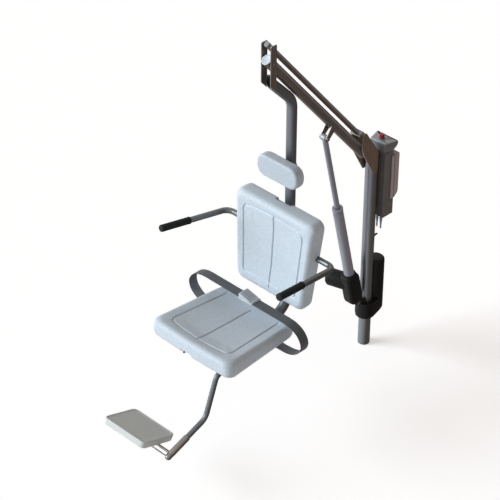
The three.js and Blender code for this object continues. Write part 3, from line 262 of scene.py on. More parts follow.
def turned(base, along, profile, count=48, closed=False):
    """A solid turned about a line from a profile of (distance along, radius)."""
    profile = np.asarray(profile, float)
    along = unit(along)
    side, square = square_pair(along)
    a = turn_angles(count)[None, :, None]
    spokes = np.cos(a) * side + np.sin(a) * square
    return loft(np.asarray(base, float) + profile[:, :1, None] * along
                + profile[:, 1:, None] * spokes, closed)


def bar(start, end, radius, edge=1.0, count=40):
    """A round bar with eased ends."""
    start = np.asarray(start, float)
    run = np.linalg.norm(np.asarray(end, float) - start)
    e = min(edge, radius / 2)
    profile = [[0, radius - e], [e * 0.3, radius - e * 0.3], [e, radius],
               [run - e, radius], [run - e * 0.3, radius - e * 0.3], [run, radius - e]]
    return turned(start, np.asarray(end, float) - start, profile, count)


def pipe(path, radius, wall, count):
    """A tube with open ends: its outer skin, then its bore back to the start, eased at the rims."""
    edge = 0.5
    path = np.asarray(path, float)
    first = path[0] + unit(path[1] - path[0]) * edge
    last = path[-1] + unit(path[-2] - path[-1]) * edge
    path = np.vstack([path[:1], first[None], path[1:-1], last[None], path[-1:]])
    ease = np.zeros(len(path))
    ease[[0, -1]] = edge
    outer = skin(path, radius - ease, count)
    inner = skin(path, radius - wall + ease * 0.2, count)
    return loft(np.concatenate([outer, inner[::-1]]), closed=True)


def inset_outline(outline, distance):
    """An outline drawn in: each corner moves along the sum of its two sides' inward normals,
    divided by one plus their dot product."""
    p = np.asarray(outline, float)
    nxt = np.roll(p, -1, axis=0)
    area = np.sum(p[:, 0] * nxt[:, 1] - nxt[:, 0] * p[:, 1])
    side = unit(nxt - p)
    normal = np.stack([-side[:, 1], side[:, 0]], axis=1) * np.sign(area)
    before = np.roll(normal, 1, axis=0)
    both = 1 + np.sum(normal * before, axis=1, keepdims=True)
    return p + distance * (normal + before) / np.maximum(both, 0.4)


AXES = {"x": (Y, Z, X), "y": (X, Z, Y), "z": (X, Y, Z)}


def slab(outline, axis, low, high, edge, steps=3):
    """An outline pushed from low to high along an axis, its rims rounded: at an angle a near each
    end the outline is drawn in by edge (1 - sin a) and stands edge (1 - cos a) further in."""
    u, v, w = AXES[axis]
    draw, rise = (edge * share for share in quarter(steps))
    places = [(low + h, d) for h, d in zip(rise, draw)]
    places += [(high - h, d) for h, d in zip(rise[::-1], draw[::-1])]
    rings = []
    for place, inset in places:
        flat = inset_outline(outline, inset)
        rings.append(flat[:, :1] * u + flat[:, 1:] * v + place * w)
    return loft(rings)


def rectangle(a0, a1, b0, b1, radius, steps=6):
    """A rectangle whose corner curves start 1.3 radius from its corners, near that radius's
    arc."""
    return rounded([[a0, b0], [a1, b0], [a1, b1], [a0, b1]], radius * 1.3, steps)


def circle_outline(centre, radius, count):
    """Points at centre + radius (cos a, sin a)."""
    a = turn_angles(count)
    return np.stack([centre[0] + radius * np.cos(a), centre[1] + radius * np.sin(a)], axis=1)


def at_height(flat, z):
    """A flat outline's points x, y as x, y, z."""
    return np.column_stack([flat, np.full(len(flat), z)])


def cut_off(rings, y):
    """Rings whose first one slides along the tube until it lies in the plane of that y."""
    rings = rings.copy()
    step = unit(rings[0].mean(0) - rings[1].mean(0))
    rings[0] += ((y - rings[0][:, 1]) / step[1])[:, None] * step
    return rings


def add_object(name, data):
    """A new object, at the origin, in the scene's own collection."""
    made = bpy.data.objects.new(name, data)
    bpy.context.scene.collection.objects.link(made)
    return made


def piece(name, parts, finish, nodes, body=None, sharp=34, uv=None):
    """One object from parts of (points in mm, faces), in the named finish: faces turned outward,
    shading smooth but for creases sharper than an angle, riding its node's body and standing for
    its nodes."""
    points, faces, start = [], [], 0
    for part_points, part_faces in parts:
        points.append(np.asarray(part_points, float))
        faces += [[i + start for i in face] for face in part_faces]
        start += len(part_points)
    mesh = bpy.data.meshes.new(name)
    mesh.from_pydata((np.vstack(points) * MM).tolist(), [], faces)
    mesh.update()
    work = bmesh.new()
    work.from_mesh(mesh)
    bmesh.ops.recalc_face_normals(work, faces=work.faces)
    work.to_mesh(mesh)
    work.free()
    mesh.shade_smooth()
    mesh.set_sharp_from_angle(angle=np.radians(sharp))
    if uv is not None:
        layer = mesh.uv_layers.new(name="weave")
        index = np.empty(len(mesh.loops), dtype=np.int32)
        mesh.loops.foreach_get("vertex_index", index)
        layer.data.foreach_set("uv", np.asarray(uv, np.float32)[index].ravel())
    made = add_object(name, mesh)
    mesh.materials.append(finish_for(finish))
    nodes = [nodes] if isinstance(nodes, str) else list(nodes)
    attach(made, body or BODY_OF[nodes[0]])
    if nodes:
        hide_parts(*nodes)


class Value:
    """One output in a node tree; arithmetic on a number adds Math nodes."""

    def __init__(self, owner, socket):
        self.owner = owner
        self.socket = socket

    def math(self, operation, *others):
        return self.owner.node("ShaderNodeMath", {"operation": operation},
                               list(enumerate((self, *others))))

    def __add__(self, other):
        return self.math("ADD", other)

    __radd__ = __add__

    def __sub__(self, other):
        return self.math("SUBTRACT", other)

    def __rsub__(self, other):
        return self.owner.node("ShaderNodeMath", {"operation": "SUBTRACT"},
                               [(0, other), (1, self)])

    def __mul__(self, other):
        return self.math("MULTIPLY", other)

    __rmul__ = __mul__

    def between(self, low, high):
        """0 below low, 1 above high, and smooth in between."""
        return self.owner.node("ShaderNodeMapRange", {"interpolation_type": "SMOOTHSTEP"},
                               [("Value", self), ("From Min", low), ("From Max", high)])


class Nodes:
    """The node tree of a material or of the world."""

    def __init__(self, tree):
        self.tree = tree

    def node(self, kind, settings, ins, out=0):
        made = self.tree.nodes.new(kind)
        for key, setting in settings.items():
            setattr(made, key, setting)
        for socket, value in ins:
            self.feed(made.inputs[socket], value)
        return Value(self, made.outputs[out])

    def feed(self, socket, value):
        if isinstance(value, Value):
            self.tree.links.new(value.socket, socket)
        elif hasattr(value, "__len__") and len(value) == 3 and socket.type == "RGBA":
            socket.default_value = (*value, 1)
        else:
            socket.default_value = value

    def blend(self, factor, a, b):
        return self.node("ShaderNodeMix", {"data_type": "RGBA"},
                         [(0, factor), (6, a), (7, b)], out=2)


class Finish(Nodes):
    """A material: one Principled shader and the nodes that feed it."""

    def __init__(self, name):
        self.material = bpy.data.materials.new(name)
        self.material.use_nodes = True
        super().__init__(self.material.node_tree)
        self.shader = self.tree.nodes["Principled BSDF"]
        self.place = self.node("ShaderNodeTexCoord", {}, [], out="Object")

    def set(self, **values):
        for key, value in values.items():
            self.feed(self.shader.inputs[key.replace("_", " ")], value)

    def scaled(self, x, y, z):
        return self.node("ShaderNodeVectorMath", {"operation": "MULTIPLY"},
                         [(0, self.place), (1, (x, y, z))])

    def dot(self, direction):
        return self.node("ShaderNodeVectorMath", {"operation": "DOT_PRODUCT"},
                         [(0, self.place), (1, tuple(float(v) for v in direction))],
                         out="Value")

    def along(self, direction, fine, coarse):
        """Object coordinates stretched along a direction, for drawn or brushed metal."""
        direction = unit(direction)
        side, square = square_pair(direction)
        return self.node("ShaderNodeCombineXYZ", {}, [
            (0, self.dot(side * fine)), (1, self.dot(square * fine)),
            (2, self.dot(direction * coarse))])

    def noise(self, vector, scale, detail, rough=0.5):
        return self.node("ShaderNodeTexNoise", {}, [
            ("Vector", vector), ("Scale", scale), ("Detail", detail), ("Roughness", rough)],
            out="Fac")

    def bump(self, height, distance):
        return self.node("ShaderNodeBump", {}, [
            ("Height", height), ("Distance", distance), ("Strength", 1.0)], out="Normal")


def shade(rgb, factor):
    """A colour times a factor, each channel at most 1."""
    return tuple(min(1.0, float(c) * factor) for c in rgb)


def moulded(name, rgb, rough=0.5, grain=900.0, bump=0.00012, mottle=0.05, gloss=0.4, lit_top_height=None):
    """Moulded plastic: a fine leather grain, a mottled skin, soft clouding and faint scuffs.
    Above the height lit_top_height it is painted paler, as painted light on upward faces."""
    f = Finish(name)
    grain_noise = f.noise(f.place, grain, 2.0)
    cloud = f.noise(f.place, 9.0, 3.0, 0.55)
    fleck = f.noise(f.place, 105.0, 4.0, 0.7)
    tone = f.blend(cloud, shade(rgb, 1 - mottle), shade(rgb, 1 + mottle))
    tone = f.blend(fleck.between(0.38, 0.66), tone, shade(rgb, 1 - 2.4 * mottle))
    # Painted light: above that height, the head's top face, the tone is painted 2.1 times paler.
    if lit_top_height is not None:
        height = f.dot(Z) + (cloud - 0.5) * 0.002
        tone = f.blend(height.between(lit_top_height, lit_top_height + 0.003), tone, shade(rgb, 2.1))
    f.set(Base_Color=tone, Roughness=(cloud - 0.5) * 0.16 + rough, Specular_IOR_Level=gloss,
          Normal=f.bump(grain_noise * 0.4 + fleck * 0.6, bump * 2))
    return f.material


def brushed(name, rgb, direction, rough, metal=0.92, contrast=0.16, shaded_below=None):
    """Drawn metal: long fine streaks along the tube, with water marks and faint handling wear.
    Below the height shaded_below it is painted darker, as painted shade."""
    f = Finish(name)
    streak = f.noise(f.along(direction, 700.0, 9.0), 1.0, 3.0, 0.6)
    wide = f.noise(f.along(direction, 90.0, 2.2), 1.0, 2.0)
    mark = f.noise(f.place, 26.0, 5.0, 0.65)
    tone = f.blend(streak, shade(rgb, 1 - contrast), shade(rgb, 1 + contrast))
    tone = f.blend(wide.between(0.35, 0.75) * 0.5, tone, shade(rgb, 1 - 1.4 * contrast))
    if shaded_below is not None:
        # Painted shade: below that height, where the post runs under the seat, the tone is painted
        # 0.66 as dark.
        height = f.dot(Z) + (mark - 0.5) * 0.06
        tone = f.blend(height.between(shaded_below - 0.05, shaded_below + 0.05), shade(rgb, 0.66), tone)
    f.set(Base_Color=tone, Metallic=metal,
          Roughness=streak * 0.12 + mark * 0.1 + (rough - 0.1),
          Normal=f.bump(streak, 0.00003))
    return f.material


def coated(name, rgb, direction, sheen_out=None):
    """Coated steel: a dark satin coat with long cloudy bands and a trace of orange peel. A
    sheen_out is the distance out along ABOVE at which a tube carries a pale line of painted
    highlight."""
    f = Finish(name)
    band = f.noise(f.along(direction, 60.0, 3.0), 1.0, 3.0)
    peel = f.noise(f.place, 420.0, 2.0)
    dust = f.noise(f.place, 60.0, 5.0, 0.7)
    tone = f.blend(band, shade(rgb, 0.78), shade(rgb, 1.22))
    tone = f.blend(dust.between(0.55, 0.8) * 0.25, tone, shade(rgb, 1.5))
    if sheen_out is not None:
        out = f.dot(ABOVE) - float(PIVOT @ ABOVE + sheen_out) * MM
        # Painted highlight: a pale blue-grey sheen painted along the tube's top line.
        sheen = (1 - out.math("ABSOLUTE").between(0.001, 0.010)) * (band * 0.5 + 0.65)
        tone = f.blend(sheen, tone, colours().sheen)
    f.set(Base_Color=tone, Metallic=0.75, Roughness=dust * 0.14 + 0.29,
          Normal=f.bump(peel, 0.00005))
    return f.material


def powder(name, rgb):
    """Black cover plastic: fine spark-erosion texture with dusty patches and paler scuffs."""
    f = Finish(name)
    texture = f.noise(f.place, 650.0, 3.0, 0.6)
    dust = f.noise(f.place, 18.0, 5.0, 0.6)
    scuff = f.noise(f.scaled(60.0, 60.0, 240.0), 1.0, 4.0, 0.7)
    tone = f.blend(dust, shade(rgb, 0.8), shade(rgb, 1.35))
    tone = f.blend(scuff.between(0.62, 0.8) * 0.35, tone, shade(rgb, 2.4))
    f.set(Base_Color=tone, Roughness=dust * 0.16 + 0.44, Specular_IOR_Level=0.16,
          Normal=f.bump(texture, 0.00012))
    return f.material


def rubber(name, rgb):
    """Grip rubber: rows of small dimples that fade in and out, on a dull black ground."""
    f = Finish(name)
    cells = f.node("ShaderNodeTexVoronoi", {"feature": "F1"},
                   [("Vector", f.place), ("Scale", 330.0)], out="Distance")
    dust = f.noise(f.place, 40.0, 4.0, 0.6)
    tone = f.blend(dust, shade(rgb, 0.8), shade(rgb, 1.6))
    f.set(Base_Color=tone, Roughness=dust * 0.14 + 0.62, Specular_IOR_Level=0.2,
          Normal=f.bump(cells.between(0.1, 0.5), 0.0003))
    return f.material


def woven(name, rgb):
    """Lap belt webbing: lengthwise ribs crossed by weft threads, one rib every 2.6 mm and one
    pick every 1.7 mm, on the strap's own coordinates, with stitched edge cords."""
    f = Finish(name)
    uv = f.node("ShaderNodeUVMap", {"uv_map": "weave"}, [], out="UV")
    across = f.node("ShaderNodeSeparateXYZ", {}, [(0, uv)], out="X")
    along = f.node("ShaderNodeSeparateXYZ", {}, [(0, uv)], out="Y")
    rib = (across * (2 * np.pi / 2.6)).math("SINE")
    pick = (along * (2 * np.pi / 1.7) + rib * 1.4).math("SINE")
    edge = across.math("ABSOLUTE").between(21.5, 23.0)
    fuzz = f.noise(f.place, 1500.0, 2.0)
    wear = f.noise(f.place, 30.0, 4.0, 0.6)
    weave = rib * 0.3 + pick * 0.2 + 0.5
    tone = f.blend(weave * 0.8 + fuzz * 0.2, shade(rgb, 0.62), shade(rgb, 1.4))
    tone = f.blend(wear.between(0.45, 0.8) * 0.3, tone, shade(rgb, 1.5))
    tone = f.blend(edge * 0.4, tone, shade(rgb, 0.6))
    # Painted light: the first 150 to 290 mm from each strap's anchor end is painted up to 3.2 times
    # paler, as painted reflection of the white floor.
    tone = f.blend(1 - along.between(150.0, 290.0), tone, shade(rgb, 3.2))
    f.set(Base_Color=tone, Roughness=0.62, Specular_IOR_Level=0.5,
          Normal=f.bump(weave + fuzz * 0.3, 0.0002))
    return f.material


def treaded(name, rgb):
    """Footrest plastic: a pebbled non-slip top that is worn smoother and greyer by feet."""
    f = Finish(name)
    pebble = f.node("ShaderNodeTexVoronoi", {"feature": "SMOOTH_F1"},
                    [("Vector", f.place), ("Scale", 260.0)], out="Distance")
    wear = f.noise(f.place, 16.0, 4.0, 0.6)
    tone = f.blend(wear, shade(rgb, 0.92), shade(rgb, 1.05))
    tone = f.blend(pebble.between(0.15, 0.6) * 0.35, tone, shade(rgb, 0.8))
    f.set(Base_Color=tone, Roughness=wear * 0.2 + 0.5,
          Normal=f.bump(1 - pebble, 0.0003))
    return f.material


FINISHES = {}


def finish_for(name):
    """The named finish, made the first time it is asked for."""
    c = colours()
    makers = {
        "moulding": lambda: moulded("moulded seat plastic", c.moulding),
        "head": lambda: moulded("headrest plastic", shade(c.moulding, 0.85)),
        "tread": lambda: treaded("footrest plastic", c.tread),
        "mast": lambda: brushed("mast steel", c.steel, Z, 0.36),
        "rail": lambda: brushed("armrest steel", c.rail, Y, 0.38, 0.85, 0.12),
        # The post is painted darker below 0.66 m, as painted shade under the seat.
        "post": lambda: brushed("post steel", c.post, Z, 0.4, 0.85, shaded_below=0.66),
        "frame": lambda: brushed("frame steel", c.leg, Y, 0.46, 0.8, 0.1),
        "bolt": lambda: brushed("bolt steel", c.steel, X, 0.3),
        "arm": lambda: coated("arm coat", c.bronze, ARM, sheen_out=12.0),
        "link": lambda: coated("link coat", c.bronze, ARM, sheen_out=56.0),
        "plate": lambda: coated("plate coat", c.bronze, Z),
        "mast_plate": lambda: coated("mast plate coat", c.plate, Z),
        "black": lambda: powder("cover plastic", c.black),
        "grip": lambda: rubber("grip rubber", c.grip),
        "belt": lambda: woven("belt webbing", c.webbing),
        "actuator": lambda: brushed("anodised actuator", c.anodised, RAM, 0.42, 0.35, 0.06),
        "box": lambda: moulded("control box plastic", c.box, 0.45, 700.0, 0.0001, 0.1),
        # The head's top face is painted paler above 1.152 m, as painted light from above.
        "box_head": lambda: moulded("box head plastic", c.box_head, 0.44, gloss=0.6, lit_top_height=1.152),
        "battery": lambda: moulded("battery plastic", c.battery, 0.46),
        "button": lambda: moulded("stop button plastic", c.button, 0.3, 600.0, 0.00003),
        "plug": lambda: moulded("grey plug plastic", c.plug, 0.45),
        "end_plug": lambda: moulded("arm plug plastic", c.end_plug, 0.4),
        "link_plug": lambda: moulded("link plug plastic", c.link_plug, 0.45),
        "lead": lambda: moulded("lead plug plastic", c.lead, 0.4),
        "collar": lambda: moulded("stop collar plastic", c.lead, 0.4),
        "sleeve": lambda: brushed("footrest sleeve steel", c.sleeve, Y, 0.34, 0.85, 0.12),
        "bush": lambda: brushed("bush bronze", c.bush, Z, 0.4, 0.9),
    }
    if name not in FINISHES:
        FINISHES[name] = makers[name]()
    return FINISHES[name]


ARM_ANGLE = np.radians(49.6)
ARM = np.array([0, -np.cos(ARM_ANGLE), np.sin(ARM_ANGLE)])
ABOVE = np.array([0, np.sin(ARM_ANGLE), np.cos(ARM_ANGLE)])
PIVOT = np.array([0, -80, 1151.7])
SPREAD = 77.6
REACH = 954.8
LINK_PIVOT = PIVOT + SPREAD * Z
HANGER = PIVOT + REACH * ARM
HANGER_LINK = HANGER + SPREAD * Z
RAM_TOP = PIVOT + 305.2 * ARM - 71.1 * ABOVE
RAM_FOOT = np.array([0, -86, 300])
RAM = unit(RAM_TOP - RAM_FOOT)
RAM_SIDE = np.array([0, RAM[2], -RAM[1]])
RAM_LENGTH = np.linalg.norm(RAM_TOP - RAM_FOOT)
POST_Y = -550.5
PIPE_R, PIPE_WALL = 24.15, 3.7
MAST_R = 30.15


def on_ram(along, side=0.0):
    """The place a distance along the actuator from its foot pin, and a distance beside it."""
    return RAM_FOOT + RAM * along + RAM_SIDE * side


def pivot_bolt(at, grip):
    """A pivot bolt through two plates whose outer faces stand grip from the middle: washer and
    domed head on the right, washer, hexagon nut and thread end on the left."""
    right = at + X * (grip + FIT)
    left = at - X * (grip + FIT)
    head = [[0, 10.0], [1.2, 10.0], [1.5, 9.6], [1.6, 8.6], [4.2, 8.4], [5.6, 6.4], [6.0, 3.6],
            [6.0, 2.6], [3.6, 2.4]]
    washer = [[0, 9.6], [1.2, 9.6], [1.5, 9.2]]
    corner = 15.0 / np.sqrt(3)
    nut = [[0, corner], [4.16, corner], [5.2, corner * 0.86]]
    return [bar(at - X * grip, at + X * grip, 6.0), turned(right, X, head),
            turned(left, -X, washer), turned(left - X * 1.5, -X, nut, 6),
            bar(left - X * 5.0, left - X * 8.0, 4.6, 0.8, 32)]


def make_stub_and_mast():
    """Four turned solids: the stub and the mast on the vertical axis, the mast with its bore, the
    cap in the mast's top, and the knob on its rear."""
    base = (0, 0, 0)
    stub = [[0, 27.6], [0.7, 29.4], [2.4, MAST_R], [243.4, MAST_R], [244, 29.6]]
    mast = [[262.4, 29.6], [263, MAST_R], [1111.4, MAST_R], [1112, 29.6], [1112, 26.6],
            [1111.4, 26.25], [263, 26.25], [262.4, 26.6]]
    cap = [[1096, 24.5], [1097, 25.9], [1112.3, 25.9], [1112.3, 30.0], [1114.6, 30.1],
           [1115.6, 29.3], [1116, 27.6]]
    knob = [[29.6, 8.0], [31, 10.6], [33.4, 12.0], [35.2, 10.8], [36.4, 7.6], [38, 7.0],
            [52, 5.4], [63.6, 4.0], [65, 3.0]]
    piece("deck_stub", [turned(base, Z, stub, 96)], "mast", "deck_stub_tube")
    piece("mast", [turned(base, Z, mast, 96, True)], "mast", "mast_tube")
    piece("mast_cap", [turned(base, Z, cap, 96)], "black", "mast_top_cap")
    piece("rear_knob", [turned((0, 0, 620), Y, knob)], "black", "mast_rear_knob")


def hub_ring(front, rear, offset, z):
    """The hull outline of two circles: the rear one where a point's sine exceeds the slope of
    their common tangent, the front one elsewhere."""
    count = 144
    slope = (front - rear) / max(offset, front)
    a = (np.arange(count) + 0.5) * 2 * np.pi / count
    on_rear = np.sin(a) > slope
    r = np.where(on_rear, rear, front)
    return np.stack([r * np.cos(a), r * np.sin(a) + np.where(on_rear, offset, 0),
                     np.full(count, z)], axis=1)


def make_hub_and_cover():
    """The hub is a stack of hub outlines. The motor's cover is a stack of circles about its own
    axis, offset behind the mast, each cut by the circle that keeps it clear of the mast: along a
    ray whose y share times the offset is t, that circle is met at
    -t - sqrt(t^2 - offset^2 + clear^2)."""
    offset = 62.0
    levels = [(32.5, 32.5, 7.4, 165), (34, 34, 7.4, 165.6), (39.5, 35.8, 7.5, 167.2),
              (41.2, 37.2, 8.2, 169), (45.4, 39, 24, 172), (48, 40, 38.4, 175),
              (49.6, 42.6, 54, 186), (50, 44, 62, 195), (50, 44, 62, 259),
              (49.6, 43.6, 62, 261), (48.4, 42.4, 62, 262)]
    rings = [hub_ring(*level) for level in levels]
    seam = slab(circle_outline((0, 0), 36, 96), "z", 261.0, 262.35, 0.6)
    piece("slew_hub", [loft(rings), seam], "black", "slew_hub_housing")
    a = turn_angles(144)
    ray = np.stack([np.cos(a), np.sin(a)], axis=1)
    toward = ray[:, 1] * offset
    clear = 31.15
    inside = toward ** 2 - (offset ** 2 - clear ** 2)
    meets = (inside > 0) & (toward < 0)
    hit = np.where(meets, -toward - np.sqrt(np.maximum(inside, 0)), 1e9)
    cover_rings = []
    tops = [(44 - 16 * rise, 486 - 16 * draw) for draw, rise in zip(*quarter(8))]
    for r, z in [(43.2, 262.3), (44, 263.1), (44, 366), (43.4, 366.6), (43.4, 367.8),
                 (44, 368.4)] + tops + [(18, 486.4)]:
        reach = np.minimum(r, hit)
        cover_rings.append(at_height(ray * reach[:, None] + (0, offset), z))
    piece("slew_motor_cover_shell", [loft(cover_rings)], "black", "slew_motor_cover")


def make_brackets():
    """The mast's two plates, whose corners are given back and up from the arm's pivot, and the
    four pivot bolts of the linkage."""
    corners = [(-31, 115.5), (-5, 115.5), (68, 3.5), (84, -24), (84, -131), (56, -136),
               (-13, -10), (-31, 34)]
    outline = rounded(corners, [6, 6, 10, 8, 4, 6, 12, 8]) + PIVOT[1:]
    edge = sizes().plate_edge / MM
    for name, low in (("left", -36.5), ("right", 30.5)):
        piece("mast_plate_" + name, [slab(outline, "x", low, low + 6, edge)],
              "mast_plate", "mast_bracket_plate_" + name)
    for name, at, grip, node in (
            ("arm_pivot", PIVOT, 36.5, "arm_pivot_bolt"),
            ("link_pivot", LINK_PIVOT, 36.5, "link_pivot_bolt"),
            ("hanger_arm_pivot", HANGER, 30.5, "hanger_arm_bolt"),
            ("hanger_link_pivot", HANGER_LINK, 30.5, "hanger_link_bolt")):
        piece(name, pivot_bolt(at, grip), "bolt", node)


def cross_sleeve(centre, half, radius):
    """A round sleeve along X, half its length to each side of its centre."""
    return bar(centre - X * half, centre + X * half, radius, 0.6)


def beside_arm(origin, places):
    """The side outline of places given along the arm and above it from an origin."""
    places = np.asarray(places, float)
    return (origin + places[:, :1] * ARM + places[:, 1:] * ABOVE)[:, 1:]


def make_arm_and_link():
    """The arm and the link are pipes with a plug turned about their line, the link's fork is two
    plates and a web, and the lug under the arm is two cheeks: half circles round the pin that
    run up to the arm in straight lines."""
    start = PIVOT - ARM * 26
    end = HANGER + ARM * 23
    piece("lift_arm_tube", [pipe([start, end], PIPE_R, PIPE_WALL, 96),
                            cross_sleeve(PIVOT, 29.9, 12), cross_sleeve(HANGER, 24.4, 12)],
          "arm", "main_arm_tube")
    plug = [[-7, 19.6], [0.3, 20.1], [0.3, 23.8], [1.0, 24.1], [2.2, 23.6], [2.9, 22.4],
            [3.0, 20.6], [2.6, 19.8], [2.6, 4.0]]
    piece("arm_nose_plug", [turned(end, ARM, plug, 96)], "end_plug", "arm_end_plug")
    link_start = LINK_PIVOT + ARM * 53.5
    link_end = HANGER_LINK + ARM * 20
    edge = sizes().plate_edge / MM
    side = beside_arm(LINK_PIVOT, [(-17, -16), (58, -16), (58, 16), (-17, 16)])
    side = rounded(side, [9, 3, 3, 9], 6)
    web = beside_arm(LINK_PIVOT, [(49, -15.5), (57.6, -15.5), (57.6, 15.5), (49, 15.5)])
    parts = [pipe([link_start, link_end], 12.7, 2.6, 72),
             slab(side, "x", -29.7, -23.7, edge), slab(side, "x", 23.7, 29.7, edge),
             slab(web, "x", -28.5, 28.5, 0.6), cross_sleeve(HANGER_LINK, 24.4, 8.6)]
    piece("upper_link", parts, "link", "upper_link_tube")
    nose = [[-7, 9.2], [0.3, 9.8], [0.3, 12.3], [0.9, 12.6], [2.2, 12.2], [2.9, 11.2],
            [3.0, 9.0]]
    piece("link_nose_plug", [turned(link_end, ARM, nose, 72)], "link_plug", "link_end_plug")
    turn = np.linspace(np.pi, 2 * np.pi, 17)
    eye = 13 * np.column_stack([np.cos(turn), np.sin(turn)])
    lug = beside_arm(RAM_TOP, np.vstack([eye, [(30, 62), (-10, 62)]]))
    parts = [slab(lug, "x", x, x + 6, edge) for x in (-20.5, 14.5)]
    head = [[0, 10], [1.4, 10], [1.8, 9.4], [5.2, 8.8], [6.2, 7.0], [6.3, 3.0]]
    parts += [turned(RAM_TOP + X * s * 20.2, X * s, head) for s in (-1, 1)]
    piece("ram_lug", parts, "plate", "actuator_lug")


def make_actuator():
    """The rod and the tube are turned about the actuator's line, and the rod's eye about its
    pin."""
    top = RAM_LENGTH - 12
    rod = [[940, 9.4], [602, 9.4], [602, 12.8], [602.6, 13.4], [top - 0.8, 13.4], [top, 12.6]]
    eye = [[-13.7, 13.4], [-13.4, 15.4], [-12.2, 16], [12.2, 16], [13.4, 15.4], [13.7, 13.4]]
    tube = [[186, 24], [186, 25.2], [604, 25.2], [604.6, 24.9], [611.4, 24.9], [612, 25.4],
            [612.6, 26.4], [614, 26.6], [622.8, 26.6], [624.8, 25.8], [626, 23.6], [626, 17],
            [624.4, 15.6], [622, 14.4]]
    piece("ram_rod", [turned(RAM_FOOT, RAM, rod, 72), turned(RAM_TOP, X, eye, 72)], "actuator",
          "actuator_rod")
    piece("ram_tube", [turned(RAM_FOOT, RAM, tube, 96)], "actuator", "actuator_tube")


def gearbox_outline(grow):
    """The housing's side outline: a half circle under the pin and sloping shoulders above it."""
    r = 42.0 + grow
    t = np.linspace(np.pi, 2 * np.pi, 25)
    low = [on_ram(34 + r * np.sin(a), r * np.cos(a)) for a in t]
    drop = 0.6 * grow
    high = [on_ram(160 + drop, r), on_ram(184 + drop, r * 0.62), on_ram(184 + drop, -r * 0.8),
            on_ram(168 + drop, -r)]
    high = rounded(np.array([low[-1]] + high + [low[0]]), 13, 5, closed=False)[1:-1]
    return np.vstack([np.array(low), high])


def make_gear_housing():
    """The housing is its side outline carried across, its edges rounded by an elliptic quarter
    22 mm wide and 27 mm deep. The motor is turned about a line across the actuator, leaning
    13 degrees, and ends in a quarter circle."""
    half = 37.0
    slices = [(-half + 22 * rise, -27 * draw) for draw, rise in zip(*quarter(9))]
    slices += [(-x, grow) for x, grow in slices[::-1]]
    rings = []
    for x, grow in slices:
        ring = gearbox_outline(grow)
        ring[:, 0] = x
        rings.append(ring)
    collar = [[170, 33], [184.6, 33], [187, 31.6], [188, 29.4], [188, 26]]
    piece("ram_gear_housing", [loft(rings), turned(RAM_FOOT, RAM, collar, 72)], "black",
          "actuator_gear_housing")
    make_foot_bracket()
    turn = np.radians(13)
    along = -np.cos(turn) * X - np.sin(turn) * RAM_SIDE
    profile = [[12, 40], [20, 43], [106, 43], [106.6, 42.5], [108.4, 42.5], [109, 43]]
    t = np.linspace(0, np.pi / 2, 9)[1:]
    profile += [[109 + 18 * np.sin(v), 43 - 18 * (1 - np.cos(v))] for v in t]
    piece("ram_motor", [turned(on_ram(121), along, profile, 96)], "black", "actuator_motor")


def make_foot_bracket():
    """Two low plates, each an arc round the foot pin that runs back to the mast in straight
    lines, and the block between them."""
    pin_y, pin_z = RAM_FOOT[1:]
    low, top = 266.0, 283.0
    turn = np.linspace(np.radians(100), np.radians(260), 13)
    eye = [(pin_y + 15 * np.cos(a), pin_z + 15 * np.sin(a)) for a in turn]
    outline = np.array(eye + [(-34.0, low), (-24.0, low), (-24.0, top), (-34.0, top + 1)])
    parts = [slab(outline, "x", x, x + 7, 0.8, 2) for x in (-28.0, 21.0)]
    parts.append(slab(rectangle(-21.6, 21.6, -44, -30.5, 2), "z", low, top, 0.8, 2))
    piece("foot_bracket", parts, "black", "actuator_foot_bracket")


def make_hanger_and_post():
    """Two hanger plates, and the post: a pipe along a path with two arcs, its upper end cut off
    in an upright plane."""
    y, z = HANGER[1:]
    outline = [(y - 18, z + 90.6), (y - 18, z - 104), (y + 17.5, z - 142), (y + 17.5, z + 90.6)]
    outline = rounded(outline, [5, 5, 6, 5])
    edge = sizes().plate_edge / MM
    for name, low in (("left", -30.5), ("right", 25.0)):
        piece("hanger_side_" + name, [slab(outline, "x", low, low + 5.5, edge)],
              "plate", "hanger_plate_" + name)
    tilt = np.tan(np.radians(46.5))
    top_y = y - 54
    top = np.array([0, top_y, 1629.5 + (POST_Y - top_y) * tilt])
    path = bent([top, (0, POST_Y, 1629.5), (0, POST_Y, 497), (0, -1075, 497)], [100, 110], 24)
    outer = cut_off(skin(path, PIPE_R, 72), y + 6)
    inner = cut_off(skin(path, PIPE_R - PIPE_WALL, 72), y + 6)
    piece("seat_post", [loft(np.concatenate([outer, inner[::-1]]), True)], "post",
          "seat_post_tube")


